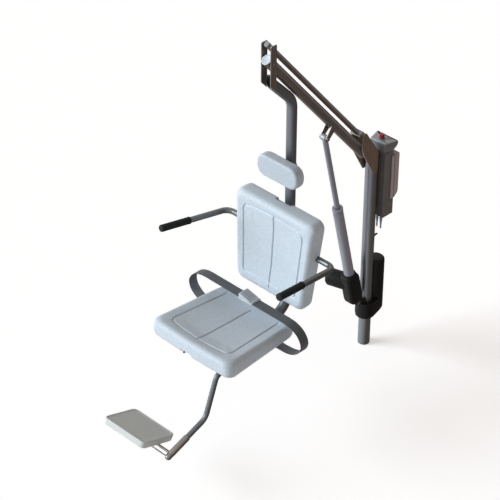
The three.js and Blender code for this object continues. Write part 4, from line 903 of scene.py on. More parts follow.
def make_headrest():
    """The clamp is a plate, a round strap about the post and the blocks between them. The cushion
    is a stack of stadium outlines along Y with rounded front and rear rims, closed in front by
    ever smaller copies."""
    outline = rectangle(-64, 64, 1256, 1294, 8)
    strap = circle_outline((0, POST_Y), PIPE_R + 4, 64)
    parts = [slab(outline, "y", -591.7, -591.7 + 9, 1.2),
             slab(strap, "z", 1257, 1293, 1.4)]
    for s in (-1, 1):
        parts.append(slab(rectangle(s * 34 - 6, s * 34 + 6, 1262, 1288, 3), "y", -583, -578.4,
                          1.2))
    parts.append(slab(rectangle(-22, 22, 1258, 1292, 4), "y", -584, -548, 1.0))
    piece("headrest_bracket", parts, "black", "headrest_clamp")
    middle, high, count = 1294.0, 55.0, 40
    t = np.linspace(0, np.pi / 2, 9)
    slices = [(-592 - 9 * np.sin(v), 4.5 * (1 - np.sin(v)) ** 1.5) for v in t[:-1]]
    slices += [(-601, 0.0), (-633, 0.0)]
    slices += [(-633 - 11 * np.sin(v), 13 * (1 - np.cos(v))) for v in t[1:]]
    rings = [stadium(124 - draw, high - draw, middle, y, count) for y, draw in slices]
    for shrink in (0.93, 0.8, 0.6, 0.35):
        ring = rings[len(slices) - 1].copy()
        ring[:, 0] *= shrink
        ring[:, 2] = mix(middle, ring[:, 2], shrink)
        ring[:, 1] -= 1.6 * (1 - shrink)
        rings.append(ring)
    piece("headrest_cushion", [loft(rings)], "head", "headrest_pad")


def stadium(half, high, z, y, count):
    """A long outline with squarish round ends, each half of a superellipse: the cosine is raised
    to 0.82 and the sine to 0.9."""
    t = np.linspace(-np.pi / 2, np.pi / 2, count)
    across = high * np.abs(np.cos(t)) ** 0.82
    up = high * np.sign(np.sin(t)) * np.abs(np.sin(t)) ** 0.9
    right = np.column_stack([half - high + across, up])
    straight = np.linspace(1, -1, 14)[1:-1, None] * np.array([[half - high, 0]])
    top = straight + np.array([[0, high]])
    flat = np.vstack([right, top, -right, -top])
    return np.column_stack([flat[:, 0], np.full(len(flat), y), flat[:, 1] + z])


def stations(marks, fine, step):
    """Grid lines from -1 to 1: evenly spaced, and closer near each mark."""
    lines = [np.arange(-1, 1 + step / 2, step)]
    for mark, reach in marks:
        lines.append(np.arange(mark - reach, mark + reach + fine / 2, fine))
    lines = np.unique(np.clip(np.concatenate(lines), -1, 1).round(5))
    keep = [lines[0]]
    for line in lines[1:]:
        if line - keep[-1] > fine * 0.45:
            keep.append(line)
    keep[-1] = 1.0
    return np.array(keep)


def cornered(u, v, half_x, half_y, radius):
    """Takes a square's places to a rectangle with round corners: along each side the first part
    runs straight and the rest follows an eighth of a circle, and inner rings are scaled copies."""
    au, av = np.abs(u), np.abs(v)
    ring = np.maximum(au, av)
    t = np.minimum(au, av) / np.maximum(ring, 1e-9)
    on_side = au >= av
    ahead = np.where(on_side, half_x, half_y)
    beside = np.where(on_side, half_y, half_x)
    straight = 1 - radius / beside
    s = np.clip((t - straight) / (1 - straight), 0, 1) * np.pi / 4
    far = ahead - radius + radius * np.cos(s)
    off = np.where(t <= straight, t * beside, beside - radius + radius * np.sin(s))
    x = np.where(on_side, far, off) / half_x
    y = np.where(on_side, off, far) / half_y
    return np.sign(u) * ring * x, np.sign(v) * ring * y


def rolled(u, v, start):
    """The drop of a rim: a quarter circle over the rings from start to the outermost one."""
    t = np.clip((np.maximum(np.abs(u), np.abs(v)) - start) / (1 - start), 0, 1)
    return 1 - np.sqrt(1 - t * t)


def groove_field(x, w, lines, half):
    """The depth share of the nearest groove: (1 + cos)/2 of the distance to its centre line."""
    deepest = np.zeros_like(x)
    for a, b in lines:
        a, b = np.asarray(a, float), np.asarray(b, float)
        run = b - a
        t = np.clip(((x - a[0]) * run[0] + (w - a[1]) * run[1]) / (run @ run), 0, 1)
        gap = np.hypot(x - a[0] - t * run[0], w - a[1] - t * run[1])
        value = np.where(gap < half, (1 + np.cos(np.pi * gap / half)) / 2, 0)
        deepest = np.maximum(deepest, value)
    return deepest


def line_through(first, second):
    """The straight line through two pairs of place and distance, as a function of the place."""
    return lambda at: mix(first[1], second[1], (at - first[0]) / (second[0] - first[0]))


def groove_path(corners, radius):
    """The short straight lines of a groove's centre path with rounded corners."""
    path = rounded(corners, radius, 8, closed=False)
    return list(zip(path[:-1], path[1:]))


def layered_shell(layers):
    """A closed body whose upper grid is layers[0] and under grid layers[-1]; the rims of the
    layers between carry the side wall round its lower edge."""
    top, under = layers[0], layers[-1]
    rows, columns = top.shape[:2]
    count = rows * columns
    rim = np.concatenate([
        np.arange(columns - 1), np.arange(rows - 1) * columns + columns - 1,
        (rows - 1) * columns + np.arange(columns - 1, 0, -1),
        np.arange(rows - 1, 0, -1) * columns])
    points = [top.reshape(-1, 3)]
    rings = [rim]
    start = count
    for layer in layers[1:-1]:
        points.append(layer.reshape(-1, 3)[rim])
        rings.append(np.arange(start, start + len(rim)))
        start += len(rim)
    points.append(under.reshape(-1, 3))
    rings.append(rim + start)
    faces = [grid_faces(rows, columns, False, False),
             grid_faces(rows, columns, False, False)[:, ::-1] + start]
    for a, b in zip(rings[:-1], rings[1:]):
        faces.append(np.stack([np.roll(a, -1), a, b, np.roll(b, -1)], axis=1))
    return np.concatenate(points), np.concatenate(faces).tolist()


def make_seat():
    """A grid of places u, v from -1 to 1, taken to a round-cornered plan that widens to the
    front. Its height is a sloping plane less the dish 1 - u^2, the rolled rim and the grooves,
    and further grids below it carry the side and the underside. The lower rim is pushed up at the
    front for the notch that the frame's small rod passes."""
    s = sizes()
    rear, front, half_rear, half_front = 743.0, 1190.0, 229.0, 256.0
    bottom, high_rear, high_front, edge = 565.0, 629.0, 651.0, 30.0
    dish, depth, half_groove = s.seat_dish / MM, s.groove_depth / MM, s.groove_half / MM
    us = stations([(-0.94, 0.06), (0.94, 0.06), (-0.72, 0.05), (0.72, 0.05), (0, 0.04)],
                  0.0055, 0.03)
    vs = stations([(-0.94, 0.06), (0.94, 0.06), (0.69, 0.05), (-0.74, 0.05)], 0.0065, 0.03)
    u, v = np.meshgrid(us, vs)
    cu, cv = cornered(u, v, 242.0, 223.5, 46.0)
    rise = mix(high_rear, high_front, (cv + 1) / 2)

    def place(inset, z):
        """The grid's places in plan, drawn in by inset, at the height z."""
        along = (cv + 1) / 2
        half = mix(half_rear, half_front, along) - inset
        bow = 6.0 * (1 - cu * cu) * (v + 1) / 2
        y = -mix(rear + inset, front - inset, along) - bow
        return np.stack([cu * half, y, np.broadcast_to(z, u.shape)], axis=-1)

    flat = place(0.0, 0.0)
    side_line = line_through((-799.5, 164.5), (-1124, 185))
    at_rear, at_front = side_line(-790), side_line(-1128)
    lines = groove_path([(-at_rear, -790), (-at_front, -1128), (0, -1141), (at_front, -1128),
                         (at_rear, -790)], 34)
    lines += [((0, -798), (0, -1141))]
    groove = groove_field(flat[..., 0], flat[..., 1], lines, half_groove)
    inside = np.minimum(1, np.abs(u) / 0.92)
    sink = dish * (1 - inside ** 2) * np.minimum(1, 4 * (1 - (v + 1) / 2))
    drop = rolled(u, v, 0.87) * edge
    top = place(0.0, rise - sink - drop - depth * groove)
    # The side and the underside have tighter corners, and place() reads them from here on.
    cu, cv = cornered(u, v, 242.0, 223.5, 38.0)
    low = [place(d, bottom + h) for d, h in
           ((-1.6, 32.0), (-1.2, 21.0), (1.4, 11.0), (5.2, 4.6), (9.6, 1.6), (13.2, 0.3))]
    under = place(16.0, bottom)
    points, faces = layered_shell([top] + low + [under])
    notch = (np.abs(points[:, 0] + 14) < 34) & (points[:, 1] < -1128) & (points[:, 2] < 588)
    points[notch, 2] = np.maximum(points[notch, 2], 584.0)
    piece("seat_tray", [(points, faces)], "moulding", "seat_moulding",
          sharp=48)


BACK_LOW, BACK_HIGH = 648.0, 1114.0


def back_faces(z):
    """The y of the back's front and of its rear at a height: both lean in a straight line."""
    lean = (z - BACK_LOW) / (BACK_HIGH - BACK_LOW)
    front = -mix(691.0, 661.0, lean)
    return front, front + mix(71.0, 86.0, lean)


def make_back():
    """As the seat, but upright: its depth is the leaning front face plus the dish, the rolled rim
    and the grooves. Its rear is hollowed to the circle round the post, and the rear's top edge
    dips 16 mm round the middle."""
    s = sizes()
    low, high, half_low, half_high, edge = BACK_LOW, BACK_HIGH, 211.0, 247.0, 30.0
    dish, groove_depth, half_groove = s.back_dish / MM, s.groove_depth / MM, s.groove_half / MM
    us = stations([(-0.94, 0.06), (0.94, 0.06), (-0.76, 0.05), (0.76, 0.05), (0, 0.04),
                   (-0.188, 0.012), (0.188, 0.012)], 0.0055, 0.03)
    vs = stations([(-0.94, 0.06), (0.94, 0.06), (0.72, 0.06), (-0.72, 0.06)], 0.0065, 0.03)
    u, v = np.meshgrid(us, vs)
    cu, cv = cornered(u, v, 229.0, 233.0, 40.0)
    along = (cv + 1) / 2

    def place(inset, depth, from_rear=False):
        """The grid's places, drawn in by inset, at a depth in from the front or the rear."""
        half = mix(half_low, half_high, along) - inset
        z = mix(low + inset, high - inset, along)
        front, rear = back_faces(z)
        y = rear - depth if from_rear else front + depth
        return np.stack([cu * half, y, z], axis=-1)

    flat = place(0.0, np.zeros_like(u))
    side_line = line_through((706, 162.5), (1053, 185))
    lines = groove_path([(-side_line(730), 730), (-side_line(1053), 1053), (0, 1065),
                         (side_line(1053), 1053), (side_line(730), 730)], 34)
    lines += [((0, 680), (0, 1065))]
    lines += groove_path([(-side_line(740), 740), (-side_line(707), 707), (side_line(707), 707),
                          (side_line(740), 740)], 22)
    groove = groove_field(flat[..., 0], flat[..., 2], lines, half_groove)
    inside = np.minimum(1, np.abs(u) / 0.92)
    share_up = (v + 1) / 2
    sink = (dish * (1 - inside ** 2) * np.minimum(1, 3 * share_up)
            * np.minimum(1, 4 * (1 - share_up)))
    drop = rolled(u, v, 0.87) * edge
    face = place(0.0, sink + drop + groove_depth * groove)
    rear = [place(d, np.full_like(u, h), True) for d, h in
            ((0.1, 26.4), (0.1, 25.6), (0.6, 14.0), (1.6, 6.0), (3.6, 2.0), (7.0, 0.4))]
    under = place(10.0, np.zeros_like(u), True)
    for layer in rear[1:] + [under]:
        beside = np.clip((46.5 - np.abs(layer[..., 0])) / 2, 0, 1)
        near_top = np.clip((layer[..., 2] - high + 34) / 24, 0, 1)
        rise = layer[-1:, :, 2] - (high - 16)
        layer[..., 2] -= rise * beside * near_top ** 2
    points, faces = layered_shell([face] + rear + [under])
    inside_post = np.hypot(points[:, 0], points[:, 1] - POST_Y) < PIPE_R + 2.5
    groove_x = points[inside_post, 0]
    wall = POST_Y - np.sqrt(np.maximum((PIPE_R + 2.5) ** 2 - groove_x ** 2, 0))
    points[inside_post, 1] = np.minimum(points[inside_post, 1], wall)
    piece("back_shell", [(points, faces)], "moulding", "backrest_moulding",
          sharp=48)


def make_back_mounts():
    """Two blocks between the post and the back's leaning rear face."""
    for name, z in (("upper", 1040.0), ("lower", 760.0)):
        low, high = z - 22, z + 22
        outline = rounded([(back_faces(low)[1] + FIT, low), (back_faces(high)[1] + FIT, high),
                           (POST_Y - 10, high), (POST_Y - 10, low)], 2.5)
        piece("back_block_" + name, [slab(outline, "x", -34, 34, 1.4)], "black",
              "back_mount_" + name)


def make_armrests():
    """Each rail is a pipe along a path with one arc. Its grip is turned about the rail's end
    length, with fine ribs between its flanged ends."""
    run = 168.0
    for name, s in (("left", -1), ("right", 1)):
        corner = np.array([s * 332.0, -612, 926.5])
        end = np.array([s * 369.0, -1006.2, 990])
        along = unit(end - corner)
        path = bent([(s * 196.0, -612, 926.5), corner, end - along * 5.3], [42], 20)
        piece("armrest_rail_" + name, [pipe(path, 14.2, 2.4, 64)], "rail",
              "armrest_tube_" + name)
        profile = [[0, 14.6], [0.3, 16.2], [1.4, 17.7], [4, 18.0], [6.4, 17.2]]
        ribs = np.linspace(9, run - 14, 60)
        profile += [[r, 17.1 - 0.35 * (1 - np.cos(k * np.pi))] for k, r in enumerate(ribs)]
        profile += [[run - 8, 17.2], [run - 3.4, 16.9], [run - 1.2, 15.4], [run - 0.3, 12.6],
                    [run, 8.0]]
        grip = turned(end - along * run, along, profile, 56)
        piece("armrest_hand_grip_" + name, [grip], "grip", "armrest_grip_" + name)


def box_tube(half, y_low, y_high, z_low, z_high, wall):
    """A rectangular tube along X with open ends and rounded corners."""
    outer = rectangle(y_low, y_high, z_low, z_high, 4)
    inner = rectangle(y_low + wall, y_high - wall, z_low + wall, z_high - wall, 2)
    rings = []
    for x, flat in ((-half, outer), (half, outer), (half, inner), (-half, inner)):
        rings.append(np.column_stack([np.full(len(flat), x), flat]))
    return loft(rings, closed=True)


def make_frame():
    """Bars and pipes along straight or arced paths. The footrest's carrier is a sleeve turned
    about the leg's lower end, which slopes down in a straight line, with two cross rods and the
    strip between their ends."""
    low, high = 521.45, 564.7
    front = [box_tube(146, -1105, -1065, low, high, 3),
             bar((-38, -1103.5, 558.8), (-38, -1191, 569.5), 5.5, 1.6)]
    rear = [box_tube(146, -841, -801, low, high, 3)]
    piece("seat_bar_front", front, "frame", "seat_frame_bar_front")
    piece("seat_bar_rear", rear, "frame", "seat_frame_bar_rear")
    socket = [pipe([(166, -905, 549.6), (166, -1140, 549.6)], 15.4, 3.2, 56)]
    socket.append(slab(rectangle(146.3, 153.8, -1095, -1075, 1.5), "z", low, high, 0.6))
    piece("leg_socket", socket, "frame", "leg_socket_tube")
    slope = np.radians(20.5)

    def on_leg(y):
        """The place y in front of the mast's axis on the leg's sloping line."""
        return np.array([166, -y, 343.5 - (y - 1254.8) * np.tan(slope)])

    path = bent([(166, -1000, 549.6), (166, -1181, 549.6), on_leg(1254.8), on_leg(1484)],
                [38, 60], 16)
    piece("leg", [pipe(path, 12.6, 2.9, 56)], "frame", "leg_tube")
    down = unit(on_leg(1484) - on_leg(1368))
    start = on_leg(1368)

    def reach(y):
        """How far along the sleeve that place lies from its start."""
        return float((on_leg(y) - start) @ down)

    profile = [[0, 13.1], [0.1, 15.0], [1.0, 15.8], [reach(1470), 15.8], [reach(1471), 15.2],
               [reach(1471.2), 14.0], [reach(1474), 14.0], [reach(1474.4), 15.4]]
    t = np.linspace(0, np.pi / 2, 9)[:-1]
    profile += [[reach(1485) + 15.4 * np.sin(a), 15.4 * np.cos(a)] for a in t]
    sleeve = [turned(start, down, profile, 56)]
    thick, thin = on_leg(1466), on_leg(1487)
    sleeve.append(bar(thick, thick - X * 215, 6.4, 0.8))
    sleeve.append(bar(thin, thin - X * 215, 3.6, 0.5, 24))
    sleeve.append(bar(thick - X * 209.5, thin - X * 209.5, 3.0, 0.5, 24))
    piece("footrest_carrier", sleeve, "sleeve", "footrest_sleeve")


def make_footrest():
    """Rounded rectangles stacked up through the board's thickness, on axes that lean 18 degrees:
    each is drawn in where its edge rounds off, and again round the recessed top."""
    lean = np.radians(18)
    forward = np.array([0, -np.cos(lean), np.sin(lean)])
    up = np.array([0, np.sin(lean), np.cos(lean)])
    centre = np.array([-39, -1466, 304.6])
    edge = list(zip(*quarter(5)))
    slices = [(32.5 - 6 * rise, 3 + 6 * draw) for draw, rise in edge]
    slices += [(4 * draw - 2, 4 * rise) for draw, rise in edge]
    slices += [(-2.0, 7.6), (-1.6, 8.6), (-0.4, 9.6), (-0.2, 11.0), (-0.2, 32.0)]
    rings = []
    for down, draw in slices:
        flat = rectangle(-132 + draw, 132 - draw, -100 + draw, 101 - draw,
                         max(21 - draw * 0.7, 5), 9)
        rings.append(centre + flat[:, :1] * X + flat[:, 1:] * forward - up * down)
    piece("footrest_board", [loft(rings)], "tread", "footrest_pad")


LOOP_OUT = (0, 0.25, 0.5, 0.64, 0.76, 0.88, 0.96, 1, 1, 0.96, 0.88, 0.77, 0.63, 0.47, 0.3)
LOOP_RISE = (0, 0, 0.01, 0.035, 0.09, 0.19, 0.31, 0.45, 0.57, 0.7, 0.83, 0.92, 0.98, 1, 1)
LAP, BELT_Y = 701.0, -821.0


def spline(points, steps):
    """A curve through points: between two of them the cubic whose slopes are half the chord of
    their neighbours."""
    p = np.asarray(points, float)
    padded = np.vstack([2 * p[0] - p[1], p, 2 * p[-1] - p[-2]])
    t = np.linspace(0, 1, steps, endpoint=False)[:, None]
    out = []
    for a, b, c, d in zip(padded[:-3], padded[1:-2], padded[2:-1], padded[3:]):
        out.append(0.5 * (2 * b + (c - a) * t + (2 * a - 5 * b + 4 * c - d) * t ** 2
                          + (3 * b - a - 3 * c + d) * t ** 3))
    return np.vstack(out + [p[-1:]])


def strap(side, end_x, name, node):
    """Webbing carried along its curve in a plane across the seat: its width lies along Y, its
    thickness square to the curve, and its selvedges are thinner than its middle."""
    s = sizes()
    out, rise = np.array(LOOP_OUT), np.array(LOOP_RISE)
    marks = np.column_stack([side * (146.3 + 210 * out), mix(539.0, LAP, rise)])
    path = spline(np.vstack([marks, [[end_x, LAP]]]), 10)
    path = np.column_stack([path[:, 0], np.full(len(path), BELT_Y), path[:, 1]])
    along = directions(path)
    through = np.cross(along, Y)
    half, thin = s.belt_width / MM / 2, s.belt_thick / MM / 2
    columns = np.concatenate([np.linspace(-1, 1, 15), np.linspace(1, -1, 15)])
    layer = np.concatenate([np.ones(15), -np.ones(15)])
    selvedge = np.abs(columns) > 0.99
    a = columns * half
    b = layer * thin * np.where(selvedge, 0.45, 1.0)
    rings = path[:, None] + a[None, :, None] * Y + b[None, :, None] * through[:, None]
    run = np.concatenate([[0], np.cumsum(np.linalg.norm(np.diff(path, axis=0), axis=1))])
    uv = np.stack(np.broadcast_arrays(a[None], run[:, None]), axis=-1).reshape(-1, 2)
    piece(name, [loft(rings)], "belt", node, uv=uv)


def make_belt():
    """Two lengths of webbing that end inside the buckle, and the buckle: rounded outlines carried
    along Y for its base and its sloping lid, and the ribs that stand on the lid."""
    middle, half = 12.0, 43.0
    strap(-1, middle - half + 24, "lap_belt_left", "seat_belt_left")
    strap(1, middle + half - 24, "lap_belt_right", "seat_belt_right")
    low, y0, y1 = LAP - 5, BELT_Y - 30, BELT_Y + 30
    base = rounded([(middle - half, low), (middle + half, low), (middle + half, LAP + 4.4),
                    (middle - half, LAP + 6.0)], 2.5)
    lid = rounded([(middle - half + 1.5, LAP + 6.6), (middle + half - 16, LAP + 5.2),
                   (middle + half - 14, LAP + 9.6), (middle - half + 3, LAP + 24),
                   (middle - half + 1, LAP + 22)], 2.5)
    tongue = rectangle(middle + half - 12, middle + half - 3, BELT_Y - 26, BELT_Y + 26, 2)
    parts = [slab(base, "y", y0, y1, 2.0, 4), slab(lid, "y", y0 + 1.5, y1 - 1.5, 2.4, 4),
             slab(tongue, "z", LAP + 3.6, LAP + 8.6, 1.2)]
    ribs = []
    slope = (9.6 - 24) / (2 * half - 17)
    for k in range(7):
        x = middle - half + 12 + k * 8.0
        top = LAP + 24 + slope * (x - middle + half - 3) - 0.4
        ribs.append(slab(rectangle(x - 2.0, x + 2.0, BELT_Y - 23, BELT_Y + 23, 1.2), "z",
                         top - 1.2, top + 1.0, 0.5))
    piece("lap_belt_buckle", parts, "plug", "belt_buckle")
    piece("buckle_press_ribs", ribs, "lead", (), BODY_OF["belt_buckle"])


def box_outline(front, rear, half_front, half_rear, radius):
    """A rounded outline symmetric in x, of one half width in front and another at the rear."""
    return rounded([(-half_front, front), (half_front, front), (half_rear, rear),
                    (-half_rear, rear)], radius, 6)


def make_control_box():
    """The body and the head are rounded outlines stacked by height and drawn in at seams and
    rims. The head's goes over from a narrow outline to a wide one by the share given. The stop
    button and its collar are turned about one upright axis."""
    rings = []
    foot = box_outline(40, 112, 50, 50.4, 7)
    base = box_outline(40, 99, 50, 50.4, 7)
    for z, draw in ((742, 3.2), (742.7, 1.2), (744.4, 0), (826, 0), (827.4, 0.4), (828, 1.6),
                    (828.2, 1.2), (829, 0), (1098, 0), (1098.6, 0.7), (1101, 0.7), (1101.6, 0),
                    (1103.4, 0), (1103.7, 0.4)):
        rings.append(at_height(inset_outline(foot if z < 828.1 else base, draw), z))
    parts = [loft(rings)]
    for x in (-34.0, 34.0):
        for z in (760.0, 1086.0):
            parts.append(turned((x, 98.6, z), Y, [[0, 3.4], [0.8, 3.4], [1.1, 2.6]], 20))
    piece("control_box", parts, "box", "control_box_body")
    rings = []
    for z, wide, draw in ((1104, 0.0, 0.8), (1104.6, 0.02, 0), (1112, 0.28, 0),
                          (1122, 0.6, 0), (1132, 0.84, 0), (1141, 0.97, 0), (1148, 1, 0),
                          (1152.4, 1, 1.2), (1155, 1, 3.4), (1156, 1, 6.4), (1156, 1, 13)):
        flat = box_outline(mix(40, 36, wide), mix(99, 111, wide), mix(45, 48, wide),
                           mix(52, 67, wide), 10)
        rings.append(at_height(inset_outline(flat, draw), z))
    parts = [loft(rings)]
    for x in (-24.0, 24.0):
        parts.append(slab(rectangle(x - 9, x + 9, 84, 96, 3), "z", 1155.4, 1157.0, 0.6))
    piece("control_box_lid", parts, "box_head", "control_box_head")
    base = (0, 66, 0)
    collar = [[1156.3, 13.6], [1156.4, 14.8], [1157.4, 15.2], [1159.2, 14.9], [1159.6, 14.2],
              [1159.2, 13.4], [1156.8, 13.1], [1156.7, 6], [1156.3, 5.6]]
    piece("stop_collar", [turned(base, Z, collar, 56, True)], "collar", "stop_button_collar")
    button = [[1138, 4.6], [1160.8, 5], [1161, 11.0], [1161.8, 12.0], [1178.6, 12.2],
              [1180.2, 11.8], [1181, 10.8], [1181.2, 8.6], [1181.2, 3.6], [1181.2, 1.2]]
    piece("stop_mushroom", [turned(base, Z, button, 56)], "button", "stop_button")


def make_battery():
    """The battery is its side outline carried across, with a wing at each side and two raised
    bars on its rear. The plugs are turned about upright axes, with stepped sleeves that widen
    upward."""
    outline = rounded([(99.4, 832), (113, 832), (137, 856), (137, 1071), (131, 1077),
                       (99.4, 1077)], [2, 8, 8, 5, 5, 2], 5)
    parts = [slab(outline, "x", -55.4, 55.4, 5.0, 6)]
    for low in (-55.2, 51.0):
        parts.append(slab(rectangle(83, 108, 834, 1075, 5), "x", low, low + 4.2, 1.4))
    parts.append(slab(rectangle(-30, 30, 1040, 1058, 6), "y", 135.4, 139.0, 1.0))
    parts.append(slab(rectangle(-40, 40, 880, 884, 1.5), "y", 135.6, 138.8, 0.7))
    piece("battery_case", parts, "battery", "battery_pack")
    for name, x in (("a", -3.0), ("b", 21.0)):
        profile = [[661.7, 3.0], [662.6, 3.9], [688, 4.3]]
        profile += [[689 + k * 3.6, 4.7 + k * 0.42 - (0.5 if k % 2 else 0)] for k in range(6)]
        profile += [[710.6, 7.2], [729, 7.6], [729.6, 7.0], [731, 7.0], [731.6, 7.6],
                    [741, 7.6], [741.7, 7.0]]
        piece("lead_plug_" + name, [turned((x, 62, 0), Z, profile, 40)], "lead",
              "cable_plug_" + name)


CAD_FINISHES = {
    "stub_spindle": "mast", "slew_gear_wheel": "bolt", "mast_flanged_bush": "bush",
    "slew_motor": "bolt", "slew_pinion": "bolt", "actuator_screw": "bolt",
    "actuator_top_pin": "bolt", "actuator_bottom_pin": "bolt",
    "control_box_bracket": "plate",
}


def finish_cad_nodes():
    """Gives each CAD node that still shows a worked finish instead of its plain one."""
    for name, node in frame["nodes"].items():
        if node.hide_render:
            continue
        node.data.materials.clear()
        node.data.materials.append(finish_for(CAD_FINISHES[name]))


def make_floor(settings):
    """A wide plane whose own glow and the light on it together come out white, so that only the
    object's shadow shows."""
    corners = np.array([(-1, -1, 0), (1, -1, 0), (1, 1, 0), (-1, 1, 0)]) * 40.0
    mesh = bpy.data.meshes.new("floor")
    mesh.from_pydata(corners.tolist(), [], [[0, 1, 2, 3]])
    floor = add_object("floor", mesh)
    f = Finish("floor")
    f.tree.nodes.remove(f.shader)
    albedo = settings.floor_albedo
    seen = f.node("ShaderNodeLightPath", {}, [], out="Is Camera Ray")
    diffuse = f.node("ShaderNodeBsdfDiffuse", {}, [("Color", (albedo, albedo, albedo))])
    glow = f.node("ShaderNodeEmission", {}, [("Color", (1.0, 1.0, 1.0)),
                                             ("Strength", seen * settings.floor_glow)])
    both = f.node("ShaderNodeAddShader", {}, [(0, diffuse), (1, glow)])
    f.feed(f.tree.nodes["Material Output"].inputs["Surface"], both)
    mesh.materials.append(f.material)
    floor.visible_glossy = False
    floor.visible_transmission = False


def make_studio(settings):
    """The light from all round: a plain fill for matt surfaces, white for the camera, and for
    glossy rays a white studio that darkens to brown low down on one side."""
    world = bpy.data.worlds.new("studio")
    bpy.context.scene.world = world
    world.use_nodes = True
    sky = Nodes(world.node_tree)

    def ray(kind):
        return sky.node("ShaderNodeLightPath", {}, [], out=kind)

    toward = sky.node("ShaderNodeTexCoord", {}, [], out="Generated")
    side = sky.node("ShaderNodeVectorMath", {"operation": "DOT_PRODUCT"},
                    [(0, toward), (1, (0.6, 0.6, -0.53))], out="Value")
    mirrored = sky.blend(side.between(-0.12, 0.73), (1, 1, 1), (0.2, 0.155, 0.13))
    glossy = ray("Is Glossy Ray").math("MAXIMUM", ray("Is Transmission Ray"))
    matt = shade((1.14, 0.98, 0.89), settings.fill)
    lit = sky.blend(glossy, matt, mirrored)
    shown = sky.blend(ray("Is Camera Ray"), lit, (1, 1, 1))
    sky.feed(sky.tree.nodes["Background"].inputs["Color"], shown)


def make_stage():
    """The floor and the studio, a soft sun from the front left, and the camera."""
    scene = bpy.context.scene
    settings = scene.lift_stage
    make_floor(settings)
    make_studio(settings)
    lamp = bpy.data.lights.new("key", "SUN")
    lamp.energy = settings.key_power
    lamp.color = (0.87, 0.95, 1.0)
    lamp.angle = np.radians(42)
    key = add_object("key", lamp)
    key.rotation_euler = (np.radians(71.7), 0, np.radians(-42))

    lens = bpy.data.cameras.new("camera")
    lens.sensor_width = 36.0
    lens.lens = 150.26
    lens.shift_x = 0.033
    lens.clip_end = 200.0
    camera = add_object("camera", lens)
    camera.location = (5.330, -6.241, 6.339)
    camera.rotation_euler = (np.radians(54.736), 0, np.radians(45))
    scene.camera = camera
    scene.view_settings.view_transform = "Standard"


class LIFT_OT_mast(bpy.types.Operator):
    """Builds the deck stub, the mast, its cap and the knob behind it"""
    bl_idname = "lift.mast"
    bl_label = "Deck Stub and Mast"

    def execute(self, context):
        make_stub_and_mast()
        return {"FINISHED"}


class LIFT_OT_hub(bpy.types.Operator):
    """Builds the slewing hub and the tall motor cover"""
    bl_idname = "lift.hub"
    bl_label = "Hub and Motor Cover"

    def execute(self, context):
        make_hub_and_cover()
        return {"FINISHED"}


class LIFT_OT_brackets(bpy.types.Operator):
    """Builds the mast's bracket plates and the four pivot bolts"""
    bl_idname = "lift.brackets"
    bl_label = "Plates and Pivots"

    def execute(self, context):
        make_brackets()
        return {"FINISHED"}


class LIFT_OT_arm(bpy.types.Operator):
    """Builds the lift arm, the upper link, their plugs and the ram's lug"""
    bl_idname = "lift.arm"
    bl_label = "Arm and Link"

    def execute(self, context):
        make_arm_and_link()
        return {"FINISHED"}


class LIFT_OT_actuator(bpy.types.Operator):
    """Builds the actuator's rod, tube, gear housing and motor"""
    bl_idname = "lift.actuator"
    bl_label = "Actuator"

    def execute(self, context):
        make_actuator()
        make_gear_housing()
        return {"FINISHED"}


class LIFT_OT_hanger(bpy.types.Operator):
    """Builds the hanger plates and the bent seat post"""
    bl_idname = "lift.hanger"
    bl_label = "Hanger and Post"

    def execute(self, context):
        make_hanger_and_post()
        return {"FINISHED"}


class LIFT_OT_headrest(bpy.types.Operator):
    """Builds the headrest and its clamp"""
    bl_idname = "lift.headrest"
    bl_label = "Headrest"

    def execute(self, context):
        make_headrest()
        return {"FINISHED"}


class LIFT_OT_seat(bpy.types.Operator):
    """Builds the grooved seat moulding"""
    bl_idname = "lift.seat"
    bl_label = "Seat"

    def execute(self, context):
        make_seat()
        return {"FINISHED"}


class LIFT_OT_back(bpy.types.Operator):
    """Builds the grooved backrest moulding and its mounting blocks"""
    bl_idname = "lift.back"
    bl_label = "Backrest"

    def execute(self, context):
        make_back()
        make_back_mounts()
        return {"FINISHED"}


class LIFT_OT_armrests(bpy.types.Operator):
    """Builds the two armrests and their grips"""
    bl_idname = "lift.armrests"
    bl_label = "Armrests"

    def execute(self, context):
        make_armrests()
        return {"FINISHED"}


class LIFT_OT_frame(bpy.types.Operator):
    """Builds the bars under the seat, the leg and the footrest's carrier"""
    bl_idname = "lift.frame"
    bl_label = "Seat Frame and Leg"

    def execute(self, context):
        make_frame()
        return {"FINISHED"}


class LIFT_OT_footrest(bpy.types.Operator):
    """Builds the footrest board"""
    bl_idname = "lift.footrest"
    bl_label = "Footrest"

    def execute(self, context):
        make_footrest()
        return {"FINISHED"}


class LIFT_OT_belt(bpy.types.Operator):
    """Builds the lap belt and its buckle"""
    bl_idname = "lift.belt"
    bl_label = "Lap Belt"

    def execute(self, context):
        make_belt()
        return {"FINISHED"}


class LIFT_OT_box(bpy.types.Operator):
    """Builds the control box, its lid, stop button, battery and plugs"""
    bl_idname = "lift.box"
    bl_label = "Control Box"

    def execute(self, context):
        make_control_box()
        make_battery()
        return {"FINISHED"}


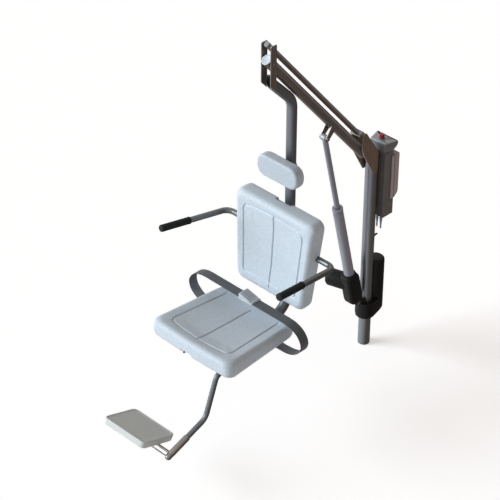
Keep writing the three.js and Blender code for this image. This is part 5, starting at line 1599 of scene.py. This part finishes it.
class LIFT_OT_kept(bpy.types.Operator):
    """Gives the inner CAD nodes that still show their finishes"""
    bl_idname = "lift.kept"
    bl_label = "Inner Pieces"

    def execute(self, context):
        finish_cad_nodes()
        return {"FINISHED"}


class LIFT_OT_stage(bpy.types.Operator):
    """Builds the floor, the light and the camera"""
    bl_idname = "lift.stage"
    bl_label = "Stage"

    def execute(self, context):
        make_stage()
        return {"FINISHED"}


STEPS = (LIFT_OT_mast, LIFT_OT_hub, LIFT_OT_brackets, LIFT_OT_arm, LIFT_OT_actuator,
         LIFT_OT_hanger, LIFT_OT_headrest, LIFT_OT_seat, LIFT_OT_back, LIFT_OT_armrests,
         LIFT_OT_frame, LIFT_OT_footrest, LIFT_OT_belt, LIFT_OT_box, LIFT_OT_kept,
         LIFT_OT_stage)
GROUPS = (LiftSizes, LiftColours, LiftStage)


class LIFT_PT_panel(bpy.types.Panel):
    """Lists the lift's sizes, colours and building steps"""
    bl_idname = "LIFT_PT_panel"
    bl_label = "Pool Lift"
    bl_space_type = "VIEW_3D"
    bl_region_type = "UI"
    bl_category = "Pool Lift"

    def draw(self, context):
        layout = self.layout
        for settings in (context.scene.lift_sizes, context.scene.lift_colours,
                         context.scene.lift_stage):
            column = layout.column(align=True)
            for key in settings.__annotations__:
                column.prop(settings, key)
        for step in STEPS:
            layout.operator(step.bl_idname)


def register():
    for kind in (*GROUPS, *STEPS, LIFT_PT_panel):
        bpy.utils.register_class(kind)
    bpy.types.Scene.lift_sizes = bpy.props.PointerProperty(type=LiftSizes)
    bpy.types.Scene.lift_colours = bpy.props.PointerProperty(type=LiftColours)
    bpy.types.Scene.lift_stage = bpy.props.PointerProperty(type=LiftStage)


def unregister():
    del bpy.types.Scene.lift_stage
    del bpy.types.Scene.lift_colours
    del bpy.types.Scene.lift_sizes
    for kind in reversed((*GROUPS, *STEPS, LIFT_PT_panel)):
        bpy.utils.unregister_class(kind)


def main():
    register()
    for step in STEPS:
        group, action = step.bl_idname.split(".")
        getattr(getattr(bpy.ops, group), action)()


if __name__ == "__main__":
    main()
